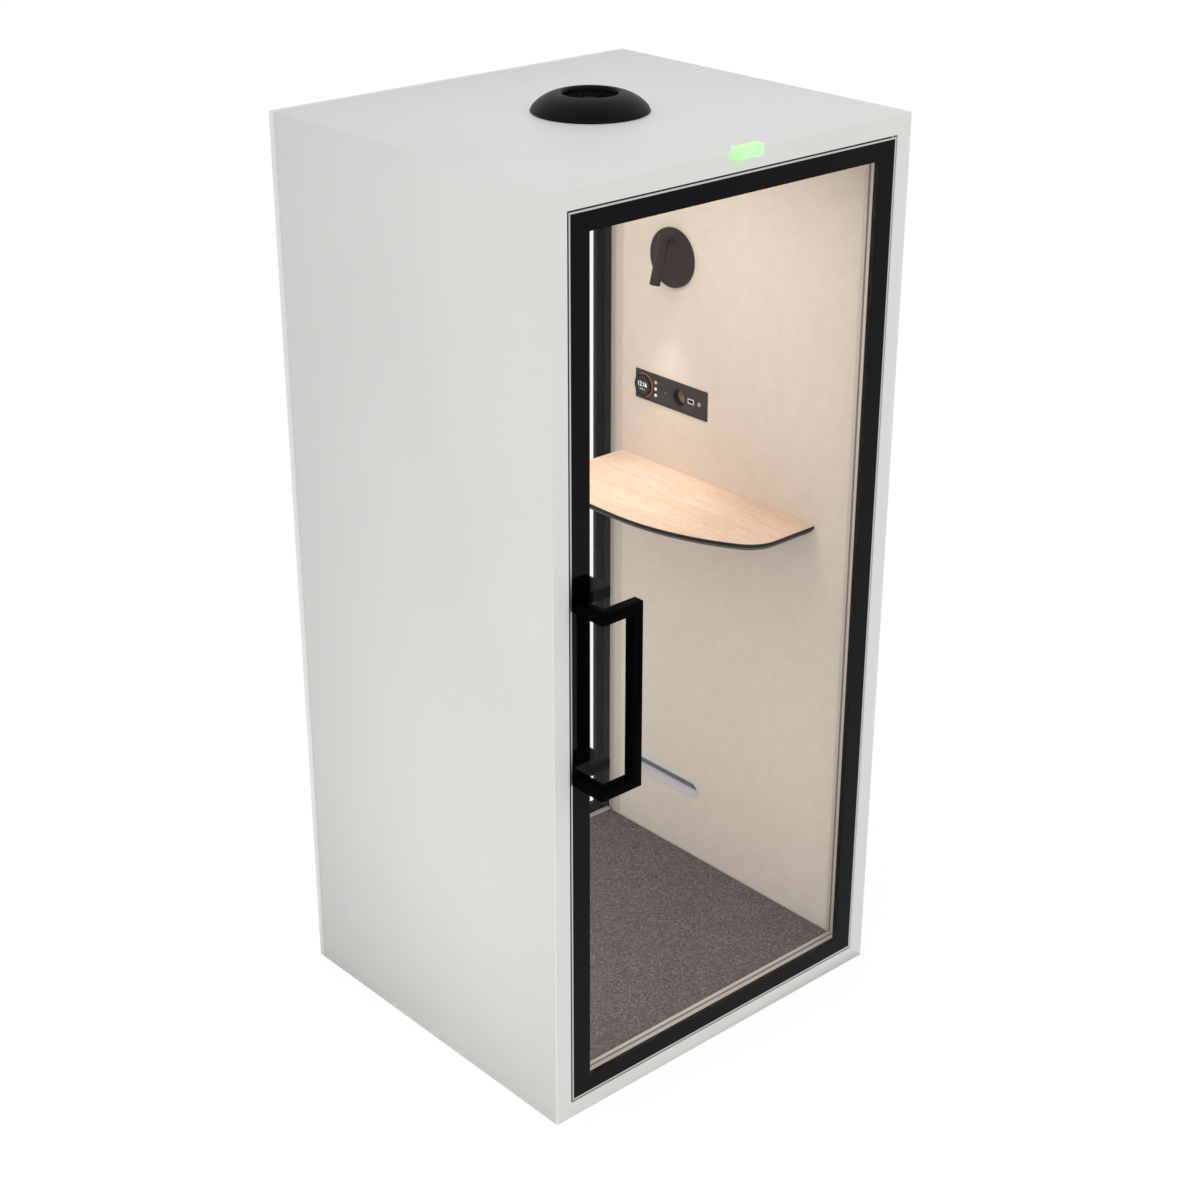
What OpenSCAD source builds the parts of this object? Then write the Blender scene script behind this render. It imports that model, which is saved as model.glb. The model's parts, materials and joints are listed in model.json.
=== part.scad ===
// One-person acoustic office pod with a pivoted glass door, a shelf desk,
// a wall lamp, a service panel, a low air inlet and a roof air outlet.
// Millimetres. X runs along the door face, Y into the pod, Z up.
// The origin is on the floor under the middle of the overall box, handle included.

/* [Casing] */
// Outside width
pod_w = 1000; // [900:5:1400]
// Outside depth
pod_d = 900; // [860:5:1300]
// Height of the roof above the floor
pod_h = 2100; // [1950:5:2400]
// Wall and roof thickness, outside face to felt face
wall_t = 55; // [50:1:80]
// Sheet steel thickness
sheet_t = 1.5; // [1:0.1:2.5]
// Radius of the upright edges
edge_r = 3; // [2:0.5:8]
// Width of the rim at the sides of the door and of the rear glass
rim_side = 42.5; // [38:0.5:47]
// Height of the rim over the door
rim_top = 43; // [38:0.5:47]
// Height of the kick plate's top edge above the floor
rim_bottom = 39.5; // [34:0.5:50]
// Clearance between the casing and the floor
foot_gap = 2; // [1:0.5:8]
// Depth of the separate frame round the rear glass
rear_trim = 21.5; // [18:0.5:35]
// Open seam between the casing and the rear frame
seam = 0.8; // [0.3:0.1:0.9]

/* [Door] */
// Gap round the door leaf at the sides and the top
door_gap = 3.2; // [2.8:0.1:5]
// Gap under the door leaf
door_gap_low = 5; // [3:0.5:8]
// Visible width of the door's edge profile
profile_w = 3.8; // [3:0.1:8]
// Thickness of the door glass and of the rear glass
glass_t = 10; // [8:0.5:12]
// Thickness of the black band bonded behind the glass
band_t = 2; // [1.5:0.1:3]
// Width of the black band at the sides
band_side = 48.5; // [40:0.5:70]
// Height of the black band at the top and the bottom
band_end = 40; // [34:0.5:70]
// Width of the black band at the sides of the rear glass
rear_side = 43.8; // [36:0.1:70]
// Distance from the pivot line to the hinge-side edge of the leaf
pivot_inset = 8; // [6.5:0.1:9]
// Diameter of the pivot pins
pivot_d = 6; // [4:0.1:7]

/* [Handles] */
// Side of the square handle bar
bar = 25; // [16:0.5:32]
// Stand-off of both handles, glass face to the bar's outer face
grip_out = 87; // [65:1:120]
// Reach of the outer handle from its root to the bar's far side
grip_reach = 109; // [80:1:160]
// Height of both handles
grip_h = 423; // [250:1:700]
// Height of the handles' lower end above the floor
grip_z = 841; // [700:1:1000]
// Distance from the leaf's edge to the outer handle's root
grip_edge = 8.3; // [5:0.1:14]

/* [Cabin] */
// Height of the carpet's surface above the floor
floor_z = 62; // [56:0.5:80]
// Carpet pile and backing
carpet_t = 6; // [4:0.5:10]
// Depth of the door frame and of the rear glass frame
jamb_d = 72; // [66:1:100]
// Height of the skirting above the carpet
skirt_h = 5; // [4:0.5:20]
// Distance from the rear frame post to the upright line of lamp, panel and inlet
line_in = 174; // [160:1:188]

/* [Desk] */
// Height of the desk's surface above the floor
desk_z = 1122; // [700:1:1200]
// Depth of the desk at its widest
desk_depth = 298; // [250:1:330]
// Free wall between the door frame and the desk
desk_gap = 99; // [60:1:200]
// Thickness of the black laminate board
desk_t = 8.8; // [6:0.2:16]
// Thickness of the wood face on the board
desk_face_t = 1.2; // [0.8:0.1:3]
// Thickness of the grey support board
desk_plate_t = 9; // [6:0.5:16]
// Radius of the long bow in the front edge
desk_bow_r = 615; // [500:1:900]
// Radius of the corner towards the door
desk_nose_r = 90; // [50:1:110]

/* [Lamp] */
// Diameter of the lamp's wall plate
lamp_d = 144; // [120:1:180]
// Thickness of the wall plate
lamp_plate_t = 9; // [8:0.5:14]
// Place of the wall plate's centre between the desk and the ceiling
lamp_share = 0.578; // [0.5:0.001:0.7]
// Diameter of the spot head
spot_d = 26; // [20:0.5:34]
// Length of the spot head
spot_len = 116; // [80:1:150]
// Lean of the spot head away from the wall
spot_lean = 14.8; // [5:0.1:30]

/* [Panel] */
// Length of the service panel
panel_len = 250; // [236:1:300]
// Height of the service panel
panel_h = 74; // [66:1:100]
// Height of the panel's centre above the desk
panel_rise = 192; // [120:1:230]
// Diameter of the turning dial
dial_d = 56; // [48:0.5:60]
// Diameter of the push buttons
button_d = 8; // [6:0.2:10]
// Diameter of the recess of the mains socket
socket_d = 39; // [37:0.1:40]

/* [Air] */
// Length of the low air inlet
vent_len = 254; // [180:1:280]
// Height of the low air inlet
vent_h = 52; // [44:0.5:70]
// Height of the inlet's centre above the floor
vent_z = 257; // [200:1:400]
// Diameter of the roof outlet's base
dome_d = 254; // [220:1:320]
// Height of the roof outlet above the roof
dome_h = 40; // [32:0.5:60]
// Diameter of the roof outlet's mouth
mouth_d = 118; // [110:1:130]
// Number of vanes in the mouth
vanes = 18; // [8:1:24]
// Number of fan blades
blades = 7; // [5:1:9]

/* [Status light] */
// Length of the status light
status_w = 67; // [40:1:110]
// Height of the status light
status_h = 24; // [20:0.5:36]
// Depth of the status light
status_d = 22; // [14:0.5:30]
// Height of the status light's top above the roof
status_rise = 10.5; // [2:0.5:12]

/* [Hidden] */
$fn = 64;

// One overrun serves every cut
cut = 1;

// Casing and door opening
hw = pod_w / 2;
mid = grip_out / 2;
front = mid - pod_d / 2;
back = mid + pod_d / 2;
open_x = hw - rim_side;
open_z0 = rim_bottom;
open_z1 = pod_h - rim_top;
cab_x = hw - wall_t;
cab_z1 = pod_h - wall_t;
skin_x = hw - sheet_t;
skin_z = pod_h - sheet_t;
return_d = 17;
ret_y = return_d + front;
rear_y = back - rear_trim;
shell_y = rear_y - seam;

// Frame behind the leaf
post_y = front + jamb_d;
rear_jamb = back - jamb_d;
line = rear_jamb - line_in;
flange_t = 4;
flange_w = 28.5;
flange_x = open_x - flange_w;
flange_y = ret_y + flange_t;
strip_w = 5;
strip_in = 2;
strip_back = 9.5;
post_strip_y = post_y - strip_back;
sill_lap = 8;
sill_y = post_y - sill_lap;
sill_strip_y = sill_y - 2 * strip_w;
board_z = floor_z - carpet_t;
deck_z = 14;

// Door leaf
leaf_t = glass_t + band_t;
leaf_x = open_x - door_gap;
leaf_z0 = open_z0 + door_gap_low;
leaf_z1 = open_z1 - door_gap;
glass_x = leaf_x - profile_w;
glass_z0 = leaf_z0 + profile_w;
glass_z1 = leaf_z1 - profile_w;
band_x = glass_x - band_side;
glass_y = glass_t + front;
leaf_y = leaf_t + front;
pivot_x = leaf_x - pivot_inset;
pivot_y = leaf_t / 2 + front;
pin_clear = 0.05;
bush_wall = 1.5;
bush_d = pivot_d + 2 * bush_wall;
collar_d = 10;
seat = 0.05;
block_w = 25;
block_h = 14;
pin_reach = 11;
rest_gap = 0.3;

// Seal round the leaf, kept outside the sweep of the hinge-side edge
seal_w = 7.5;
seal_in = 1;
seal_up = 1.7;
seal_drop = 19.5;
header_drop = 28;
seal_x = flange_x + seal_w + seal_in;
seal_z0 = glass_z0 + seal_up;
seal_z1 = open_z1 - seal_drop;

// Rear glazing
gasket_d = 8;
gasket_w = 20.5;
rear_leaf_y = back - leaf_t;
gasket_y = rear_leaf_y - gasket_d;
rear_glass_x = open_x - door_gap;
rear_band_x = rear_glass_x - rear_side;
rear_z0 = open_z0 + door_gap;
rear_post_cut = 7;
rear_sill_d = 12;
rear_sill_h = 10;

// Handles
grip_x0 = grip_edge - leaf_x;
grip_x1 = grip_x0 + grip_reach;
root_gap = 3;
root_x = root_gap - flange_x;
bolt_d = 8;
bolt_head_d = 14;
bolt_in = 20;
bolt_clear = 0.03;

// Feet
foot_d = 44;
foot_h = 8;
foot_in = 60;
stud_d = 10;
stud_in = 12;

// Desk outline
desk_x = cab_x - desk_depth;
desk_y1 = rear_jamb;
desk_y0 = post_y + desk_gap;
desk_len = desk_y1 - desk_y0;
desk_rear_r = 40;
bow_back_share = 0.438;
bow_y = desk_y1 - desk_len * bow_back_share;
desk_core_z = desk_z - desk_face_t - desk_t;
desk_plate_z = desk_core_z - desk_plate_t;
plate_inset = 8;
gusset_t = 4;
gusset_h = 84;
gusset_out_share = 0.64;
gusset_shares = [0.22, 0.74];
gusset_flange = 28;
arc_steps = 14;

// Lamp
lamp_x = cab_x - lamp_plate_t;
lamp_z = desk_z + (cab_z1 - desk_z) * lamp_share;
spot_off = 35;
spot_x = cab_x - spot_off;
spot_up = 16;
spot_rise = 40.5;
spot_z = lamp_z + spot_rise;
spot_down = spot_len - spot_up;
spot_wall = 2;
tongue_w = 8;
tongue_h = 11;
slot_clear = 0.25;
knuckle_d = 4;
journal_d = 12;
journal_in = 5;
boss_d = 18;
lens_in = 2;
spot_edge_r = 3;
boss_clear = 0.8;
boss_x = spot_x + norm([spot_d / 2 - spot_edge_r, spot_up]) + boss_clear;

// Panel and what sits in it
plate_t = 2;
panel_x = cab_x - plate_t;
panel_z = desk_z + panel_rise;
panel_shares = [0.108, 0.222, 0.384, 0.572];
panel_y0 = line - panel_len / 2;
panel_y1 = line + panel_len / 2;
box_in = 7;
box_d = 36;
dial_in = 2;
dial_y = panel_y1 - dial_d / 2 - dial_in;
dial_t = 6;
dial_wall = 5;
dial_lip = 0.8;
hub_d = dial_d - 2 * dial_wall;
button_off = 14;
button_y = dial_y - dial_d / 2 - button_off;
button_pitch = 16.4;
button_out = 1.2;
button_flange = 1.2;
button_stroke = 1;
button_clear = 0.15;
well_clear = 1.5;
well_d = button_d + 2 * well_clear;
well_in = 5;
socket_y = panel_y0 + panel_len * panel_shares[2];
socket_wall = 2;
socket_out = 0.6;
socket_in = 17.5;
socket_floor = 4;
contact_d = 5.2;
contact_pitch = 19;
contact_in = 3;
port_y = panel_y0 + panel_len * panel_shares[1];
port_w = 22;
port_h = 13.5;
port_wall = 3.2;
port_in = 9;
jack_y = panel_y0 + panel_len * panel_shares[0];
jack_d = 10;
jack_hole = 4.4;
port_out = 0.5;
port_d = 16;
lamp_dot_w = 8;
lamp_dot_h = 3;
lamp_dot_y = panel_y0 + panel_len * panel_shares[3];

// Low inlet
vent_face = 1.2;
vent_lip = 8;
vent_wall = 3.5;
vent_in = 14;
vent_rise = 10;
grille_t = 1.5;
perf_d = 4.6;
perf_pitch = 7.4;
duct_in = 30;

// Roof outlet and fan
dome_wall = 3;
dome_foot = 4;
crest_out = 7;
crest_r = mouth_d / 2 + crest_out;
dome_bulge = 7;
grille_z = 12;
grille_h = 14;
vane_t = 1.6;
grille_hub_d = 30;
grille_rim = 3;
fan_box = 120;
fan_t = 25;
fan_bore = 114;
fan_clear = 2;
fan_hub_d = 40;
fan_shaft_d = 6;
blade_t = 2;
blade_pitch = 32;
fan_drop = 4;
fan_z = skin_z - fan_t - fan_drop;
spider_t = 4;
ceiling_slots = 7;
ceiling_slot_w = 6;

// Mains inlet on the back
inlet_w = 28;
inlet_h = 22;
inlet_z = 90;
inlet_wall = 3;
inlet_in = 14;
inlet_d = 18;
blade_w = 4;

// Status light, clipped on two pegs behind the front rim
status_r = 3;
status_peg_d = 5;
status_peg_in = 6;
status_peg_z = 7;
status_pitch = 40;

// Box from two corners
module span(a, b) { translate(a) cube(b - a); }

// Upright rectangular ring: half width, lower and upper edge, ring width, from y0 to y1
module ring(x, z0, z1, w, y0, y1) {
    difference() {
        span([-x, y0, z0], [x, y1, z1]);
        span([w - x, y0 - cut, z0 + w], [x - w, y1 + cut, z1 - w]);
    }
}

// Cylinder along Y or X from one place to another
module rod_y(x, z, d, y0, y1) { translate([x, y0, z]) rotate([-90, 0, 0]) cylinder(d = d, h = y1 - y0); }
module rod_x(y, z, d, x0, x1) { translate([x0, y, z]) rotate([0, 90, 0]) cylinder(d = d, h = x1 - x0); }
module rod_z(x, y, d, z0, z1) { translate([x, y, z0]) cylinder(d = d, h = z1 - z0); }

// Plan outline of the folded edge at the right front corner
module folded_edge(r, t) {
    intersection() {
        difference() { circle(r = r); circle(r = r - t); }
        translate([0, -r]) square(r);
    }
}

// Side skin with its front rim and the return beside the door
module side_shell() {
    translate([0, 0, foot_gap]) linear_extrude(skin_z - foot_gap) {
        translate([skin_x, edge_r + front]) square([sheet_t, shell_y - front - edge_r]);
        translate([open_x, front]) square([rim_side - edge_r, sheet_t]);
        translate([open_x, front]) square([sheet_t, return_d]);
        translate([hw - edge_r, edge_r + front]) folded_edge(edge_r, sheet_t);
    }
}

module side_core() {
    span([open_x, ret_y, open_z0], [skin_x, shell_y, skin_z]);
}

module side_felt() {
    span([cab_x, post_y, floor_z + skirt_h], [open_x, rear_jamb, open_z1]);
}

// Front frame post: outer body, flange that carries the seal, groove for the strip
module front_post() {
    translate([0, 0, open_z0]) linear_extrude(open_z1 - open_z0) polygon([
        [open_x, ret_y], [flange_x, ret_y], [flange_x, flange_y], [cab_x, flange_y],
        [cab_x, post_strip_y - strip_w], [cab_x + strip_in, post_strip_y - strip_w],
        [cab_x + strip_in, post_strip_y], [cab_x, post_strip_y],
        [cab_x, post_y], [open_x, post_y]]);
}

// Rear frame post with the bevel that meets the glazing
module rear_post() {
    translate([0, 0, board_z]) linear_extrude(open_z1 - board_z) polygon([
        [open_x, rear_jamb], [cab_x, rear_jamb], [cab_x, gasket_y - 2 * rear_post_cut - gasket_d],
        [cab_x + rear_post_cut, gasket_y - rear_post_cut - gasket_d],
        [cab_x + rear_post_cut, gasket_y], [open_x, gasket_y]]);
}

module feet() {
    color("dimgray")
    for (x = [foot_in - hw, hw - foot_in], y = [foot_in + front, back - foot_in - rear_trim]) {
        rod_z(x, y, foot_d, 0, foot_h);
        rod_z(x, y, stud_d, foot_h, deck_z + stud_in);
    }
}

module floor_deck() {
    color("burlywood")
    difference() {
        union() {
            span([-skin_x, ret_y, deck_z], [skin_x, shell_y, open_z0]);
            span([-open_x, post_y, open_z0], [open_x, gasket_y, board_z]);
        }
        for (x = [foot_in - hw, hw - foot_in], y = [foot_in + front, back - foot_in - rear_trim])
            rod_z(x, y, stud_d + 2 * pin_clear, deck_z - cut, deck_z + stud_in + rest_gap);
        // Air way from under the pod to the low inlet
        span([open_x + vent_wall, line - vent_len / 2 + vent_h / 2, deck_z - cut],
            [skin_x - vent_wall, line + vent_len / 2 - vent_h / 2, open_z0 + cut]);
    }
}

module carpet() {
    color([0.42, 0.41, 0.39])
    span([-cab_x, sill_y, board_z], [cab_x, gasket_y - rear_sill_d, floor_z]);
}

module sill() {
    color([0.86, 0.83, 0.78])
    difference() {
        union() {
            span([-flange_x, ret_y, open_z0], [flange_x, flange_y, seal_z0 + seal_w + seal_in]);
            span([-cab_x, flange_y, open_z0], [cab_x, sill_y, floor_z]);
            span([-cab_x, sill_y, open_z0], [cab_x, post_y, board_z]);
        }
        span([-cab_x - cut, sill_strip_y - strip_w, floor_z - strip_in],
            [cab_x + cut, sill_strip_y, floor_z + cut]);
    }
}

module frame_strips() {
    color([0.56, 0.56, 0.57]) {
        for (s = [0, 1]) mirror([s, 0, 0])
            span([cab_x, post_strip_y - strip_w, floor_z],
                [cab_x + strip_in, post_strip_y, cab_z1]);
        span([-cab_x, sill_strip_y - strip_w, floor_z - strip_in],
            [cab_x, sill_strip_y, floor_z]);
    }
}

module kick_plate() {
    color([0.93, 0.93, 0.92])
    difference() {
        union() {
            span([-open_x, front, foot_gap], [open_x, sheet_t + front, open_z0]);
            span([-open_x, sheet_t + front, open_z0 - sheet_t], [open_x, ret_y, open_z0]);
            span([-open_x, sheet_t + front, foot_gap], [open_x, ret_y, foot_gap + sheet_t]);
        }
        rod_z(pivot_x, pivot_y, bush_d + 2 * seat, open_z0 - 2 * sheet_t, open_z0 + cut);
    }
}

module skirtings() {
    color([0.87, 0.85, 0.81])
    for (s = [0, 1]) mirror([s, 0, 0]) {
        span([cab_x, post_y, board_z], [open_x, rear_jamb, floor_z + skirt_h]);
        span([cab_x - sheet_t, post_y, floor_z], [cab_x, rear_jamb, floor_z + skirt_h]);
    }
}

module left_shell() { color([0.93, 0.93, 0.92]) mirror([1, 0, 0]) side_shell(); }
module right_shell() { color([0.93, 0.93, 0.92]) side_shell(); }

module roof_shell() {
    color([0.93, 0.93, 0.92])
    difference() {
        union() {
            translate([0, 0, skin_z]) linear_extrude(sheet_t) {
                translate([-hw, edge_r + front]) square([pod_w, shell_y - front - edge_r]);
                translate([edge_r - hw, front]) square([pod_w - 2 * edge_r, edge_r]);
                for (s = [-1, 1]) translate([s * (hw - edge_r), edge_r + front]) circle(r = edge_r);
            }
            span([-open_x, front, open_z1], [open_x, sheet_t + front, skin_z]);
            span([-open_x, sheet_t + front, open_z1], [open_x, ret_y, open_z1 + sheet_t]);
        }
        rod_z(0, mid, mouth_d, skin_z - cut, pod_h + cut);
        rod_z(pivot_x, pivot_y, bush_d + 2 * seat, open_z1 - cut, open_z1 + 2 * sheet_t);
        for (s = [-1, 1]) rod_y(s * status_pitch / 2, pod_h - status_peg_z, status_peg_d + 2 * seat,
            front - cut, sheet_t + front + cut);
    }
}

// Rear frame: face, outer band and inner return of one pressed ring
module rear_frame() {
    color([0.92, 0.92, 0.91])
    difference() {
        union() {
            difference() {
                union() {
                    translate([0, 0, foot_gap]) linear_extrude(pod_h - foot_gap) {
                        translate([-hw, rear_y]) square([pod_w, rear_trim - edge_r]);
                        translate([edge_r - hw, rear_y]) square([pod_w - 2 * edge_r, rear_trim]);
                        for (s = [-1, 1]) translate([s * (hw - edge_r), back - edge_r])
                            circle(r = edge_r);
                    }
                }
                span([2 * sheet_t - hw, rear_y - cut, foot_gap + 2 * sheet_t],
                    [hw - 2 * sheet_t, back - 2 * sheet_t, pod_h - 2 * sheet_t]);
            }
            ring(open_x + sheet_t, open_z0 - sheet_t, open_z1 + sheet_t, sheet_t,
                rear_y, back - sheet_t);
        }
        span([-open_x, rear_y - cut, open_z0], [open_x, back + cut, open_z1]);
        span([hw - rim_side / 2 - inlet_w / 2, back - inlet_d, inlet_z],
            [hw - rim_side / 2 + inlet_w / 2, back + cut, inlet_z + inlet_h]);
    }
}

module left_core() { color("khaki") mirror([1, 0, 0]) side_core(); }

module right_core() {
    color("khaki")
    difference() {
        side_core();
        span([open_x - cut, panel_y0 + box_in, panel_z - panel_h / 2 + box_in],
            [cab_x + box_d, panel_y1 - box_in, panel_z + panel_h / 2 - box_in]);
        // Air way behind and below the inlet
        span([open_x - cut, line - vent_len / 2 + vent_lip - vent_wall,
                open_z0 - cut],
            [cab_x + vent_in + vent_wall + duct_in / 2, line + vent_len / 2 - vent_lip + vent_wall,
                vent_z + vent_h / 2 - vent_lip + vent_wall]);
    }
}

module roof_core() {
    color("khaki")
    difference() {
        span([-open_x, ret_y, open_z1], [open_x, shell_y, skin_z]);
        span([-fan_box / 2, mid - fan_box / 2, open_z1 - cut],
            [fan_box / 2, mid + fan_box / 2, skin_z + cut]);
    }
}

module left_felt() { color([0.84, 0.77, 0.68]) mirror([1, 0, 0]) side_felt(); }

module right_felt() {
    color([0.84, 0.77, 0.68])
    difference() {
        side_felt();
        span([cab_x - cut, panel_y0 + box_in, panel_z - panel_h / 2 + box_in],
            [open_x + cut, panel_y1 - box_in, panel_z + panel_h / 2 - box_in]);
        obround_x(vent_len - 2 * vent_lip + 2 * vent_wall + 2 * seat,
            vent_h - 2 * vent_lip + 2 * vent_wall + 2 * seat, cab_x - cut, open_x + cut);
    }
}

// Round-ended bar along Y, thick in X, centred on the low inlet
module obround_x(len, h, x0, x1) {
    span([x0, line - len / 2 + h / 2, vent_z - h / 2],
        [x1, line + len / 2 - h / 2, vent_z + h / 2]);
    for (s = [-1, 1]) rod_x(line + s * (len - h) / 2, vent_z, h, x0, x1);
}

module ceiling_panel() {
    color([0.88, 0.87, 0.84])
    difference() {
        span([-cab_x, post_y, cab_z1], [cab_x, rear_jamb, open_z1]);
        for (i = [0 : ceiling_slots - 1]) {
            y = (i - (ceiling_slots - 1) / 2) * 2 * ceiling_slot_w;
            half = sqrt(pow(fan_bore / 2 - ceiling_slot_w, 2) - pow(y, 2));
            span([-half, mid + y - ceiling_slot_w / 2, cab_z1 - cut],
                [half, mid + y + ceiling_slot_w / 2, open_z1 + cut]);
        }
    }
}

module front_post_left() { color([0.86, 0.83, 0.78]) mirror([1, 0, 0]) front_post(); }
module front_post_right() { color([0.86, 0.83, 0.78]) front_post(); }

module front_header() {
    color([0.86, 0.83, 0.78]) {
        span([-flange_x, ret_y, open_z1 - header_drop], [flange_x, flange_y, open_z1]);
        span([-cab_x, flange_y, cab_z1], [cab_x, post_y, open_z1]);
    }
}

module rear_post_left() { color([0.86, 0.83, 0.78]) mirror([1, 0, 0]) rear_post(); }
module rear_post_right() { color([0.86, 0.83, 0.78]) rear_post(); }

module rear_header() {
    color([0.86, 0.83, 0.78])
    span([-cab_x, rear_jamb, cab_z1], [cab_x, gasket_y, open_z1]);
}

module rear_sill() {
    color([0.86, 0.83, 0.78])
    span([-cab_x, gasket_y - rear_sill_d, board_z], [cab_x, gasket_y, board_z + rear_sill_h]);
}

module seals() {
    color([0.08, 0.08, 0.09]) {
        difference() {
            span([-seal_x, leaf_y + rest_gap, seal_z0], [seal_x, ret_y, seal_z1]);
            span([seal_w - seal_x, leaf_y, seal_z0 + seal_w],
                [seal_x - seal_w, ret_y + cut, seal_z1 - seal_w]);
        }
        ring(open_x, open_z0, open_z1, gasket_w, gasket_y, rear_leaf_y);
        ring(open_x, open_z0, open_z1, door_gap, rear_leaf_y, back);
    }
}

module rear_glass() {
    color([0.75, 0.82, 0.82, 0.35])
    span([-rear_glass_x, rear_leaf_y + band_t, rear_z0], [rear_glass_x, back, leaf_z1]);
}

module rear_band() {
    color([0.1, 0.1, 0.11])
    difference() {
        span([-rear_glass_x, rear_leaf_y, rear_z0], [rear_glass_x, rear_leaf_y + band_t, leaf_z1]);
        span([-rear_band_x, rear_leaf_y - cut, glass_z0 + band_end],
            [rear_band_x, back, glass_z1 - band_end]);
    }
}

// Bearing block with its bush nose: nose end, back of the block, bore depth
module bearing(z_nose, z_block, z_end, x0) {
    difference() {
        union() {
            rod_z(pivot_x, pivot_y, bush_d, min(z_nose, z_block), max(z_nose, z_block));
            span([x0, sheet_t + front, min(z_block, z_end)], [open_x, ret_y, max(z_block, z_end)]);
        }
        rod_z(pivot_x, pivot_y, pivot_d + 2 * pin_clear, min(z_nose, z_end) - cut,
            max(z_nose, z_end) + cut);
    }
}

module pivot_bearings() {
    color("darkgoldenrod") {
        bearing(open_z0, open_z0 - sheet_t, open_z0 - sheet_t - block_h, open_x - block_w);
        bearing(open_z1, open_z1 + sheet_t, open_z1 + sheet_t + block_h, open_x - block_w);
    }
}

// Points of an arc about c
function arc(c, r, a0, a1) = [for (i = [0 : arc_steps])
    c + r * [cos(a0 + (a1 - a0) * i / arc_steps), sin(a0 + (a1 - a0) * i / arc_steps)]];

// Desk outline, set in by d: bow, nose towards the door, wall, rear corner
function desk_line(d) =
    let (bow = [desk_x + desk_bow_r, bow_y],
        dy = bow_y - desk_y0 - desk_nose_r,
        dx = sqrt(pow(desk_bow_r - desk_nose_r, 2) - pow(dy, 2)),
        nose = [bow[0] - dx, desk_y0 + desk_nose_r],
        turn = 180 + atan2(dy, dx))
    concat(arc(bow, desk_bow_r - d, 180, turn), arc(nose, desk_nose_r - d, turn, 270),
        [[cab_x, desk_y0 + d], [cab_x, desk_y1 - d]],
        arc([desk_x + desk_rear_r, desk_y1 - desk_rear_r], desk_rear_r - d, 90, 180));

module desk_top() {
    color([0.93, 0.82, 0.69])
    translate([0, 0, desk_z - desk_face_t]) linear_extrude(desk_face_t) polygon(desk_line(0));
}

module desk_core() {
    color([0.13, 0.14, 0.15])
    translate([0, 0, desk_core_z]) linear_extrude(desk_t) polygon(desk_line(0));
}

module desk_plate() {
    color([0.36, 0.37, 0.38])
    translate([0, 0, desk_plate_z]) linear_extrude(desk_plate_t) polygon(desk_line(plate_inset));
}

module desk_brackets() {
    color([0.3, 0.31, 0.32])
    for (k = gusset_shares) translate([0, desk_y0 + desk_len * k, desk_plate_z]) {
        rotate([90, 0, 0]) linear_extrude(gusset_t) polygon([
            [cab_x, 0], [cab_x - desk_depth * gusset_out_share, 0],
            [cab_x - desk_depth * gusset_out_share, -gusset_t * 2],
            [cab_x - gusset_t * 2, -gusset_h], [cab_x, -gusset_h]]);
        span([cab_x - gusset_t, 0, -gusset_h], [cab_x, gusset_flange, 0]);
        span([cab_x - desk_depth * gusset_out_share, 0, -gusset_t],
            [cab_x - gusset_t, gusset_flange, 0]);
    }
}

module lamp_plate() {
    color([0.17, 0.17, 0.18])
    difference() {
        rod_x(line, lamp_z, lamp_d, lamp_x, cab_x);
        rod_x(line, spot_z, journal_d + 2 * pin_clear, lamp_x - cut,
            lamp_x + journal_in + rest_gap);
    }
}

module lamp_arm() {
    color([0.19, 0.18, 0.18])
    difference() {
        union() {
            rod_x(line, spot_z, journal_d, lamp_x - rest_gap, lamp_x + journal_in);
            rod_x(line, spot_z, boss_d, boss_x, lamp_x - rest_gap);
            span([spot_x, line - tongue_w / 2, spot_z - tongue_h / 2],
                [boss_x + cut, line + tongue_w / 2, spot_z + tongue_h / 2]);
            rod_y(spot_x, spot_z, tongue_h, line - tongue_w / 2, line + tongue_w / 2);
        }
        rod_y(spot_x, spot_z, knuckle_d + 2 * pin_clear, line - tongue_w, line + tongue_w);
    }
}

// Places the spot head's own frame: origin at the knuckle, Z along the barrel
module spot_frame() { translate([spot_x, line, spot_z]) rotate([0, spot_lean, 0]) children(); }

module lamp_head() {
    color([0.21, 0.19, 0.19])
    spot_frame() {
        difference() {
            rotate_extrude() polygon([
                [0, -spot_down + 2 * lens_in], [spot_d / 2 - spot_wall, -spot_down + 2 * lens_in],
                [spot_d / 2 - spot_wall, -spot_down], [spot_d / 2, -spot_down],
                [spot_d / 2, spot_up - spot_edge_r], [spot_d / 2 - spot_edge_r, spot_up],
                [0, spot_up]]);
            // Slot for the tongue, open to the wall side and the top
            rotate([90, 0, 0]) translate([0, 0, -tongue_w / 2 - slot_clear])
                linear_extrude(tongue_w + 2 * slot_clear) {
                    circle(d = tongue_h + 2 * slot_clear);
                    translate([-tongue_h / 2 - slot_clear, 0])
                        square([spot_d, spot_up + cut]);
                    translate([0, -tongue_h / 2 - slot_clear])
                        square([spot_d, spot_up + cut]);
                }
        }
        rod_y(0, 0, knuckle_d, -tongue_w / 2 - slot_clear - cut, tongue_w / 2 + slot_clear + cut);
    }
}

module lamp_lens() {
    color([1, 0.95, 0.85])
    spot_frame() rod_z(0, 0, spot_d - 2 * spot_wall - 2 * seat, lens_in - spot_down,
        2 * lens_in - spot_down);
}

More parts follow.
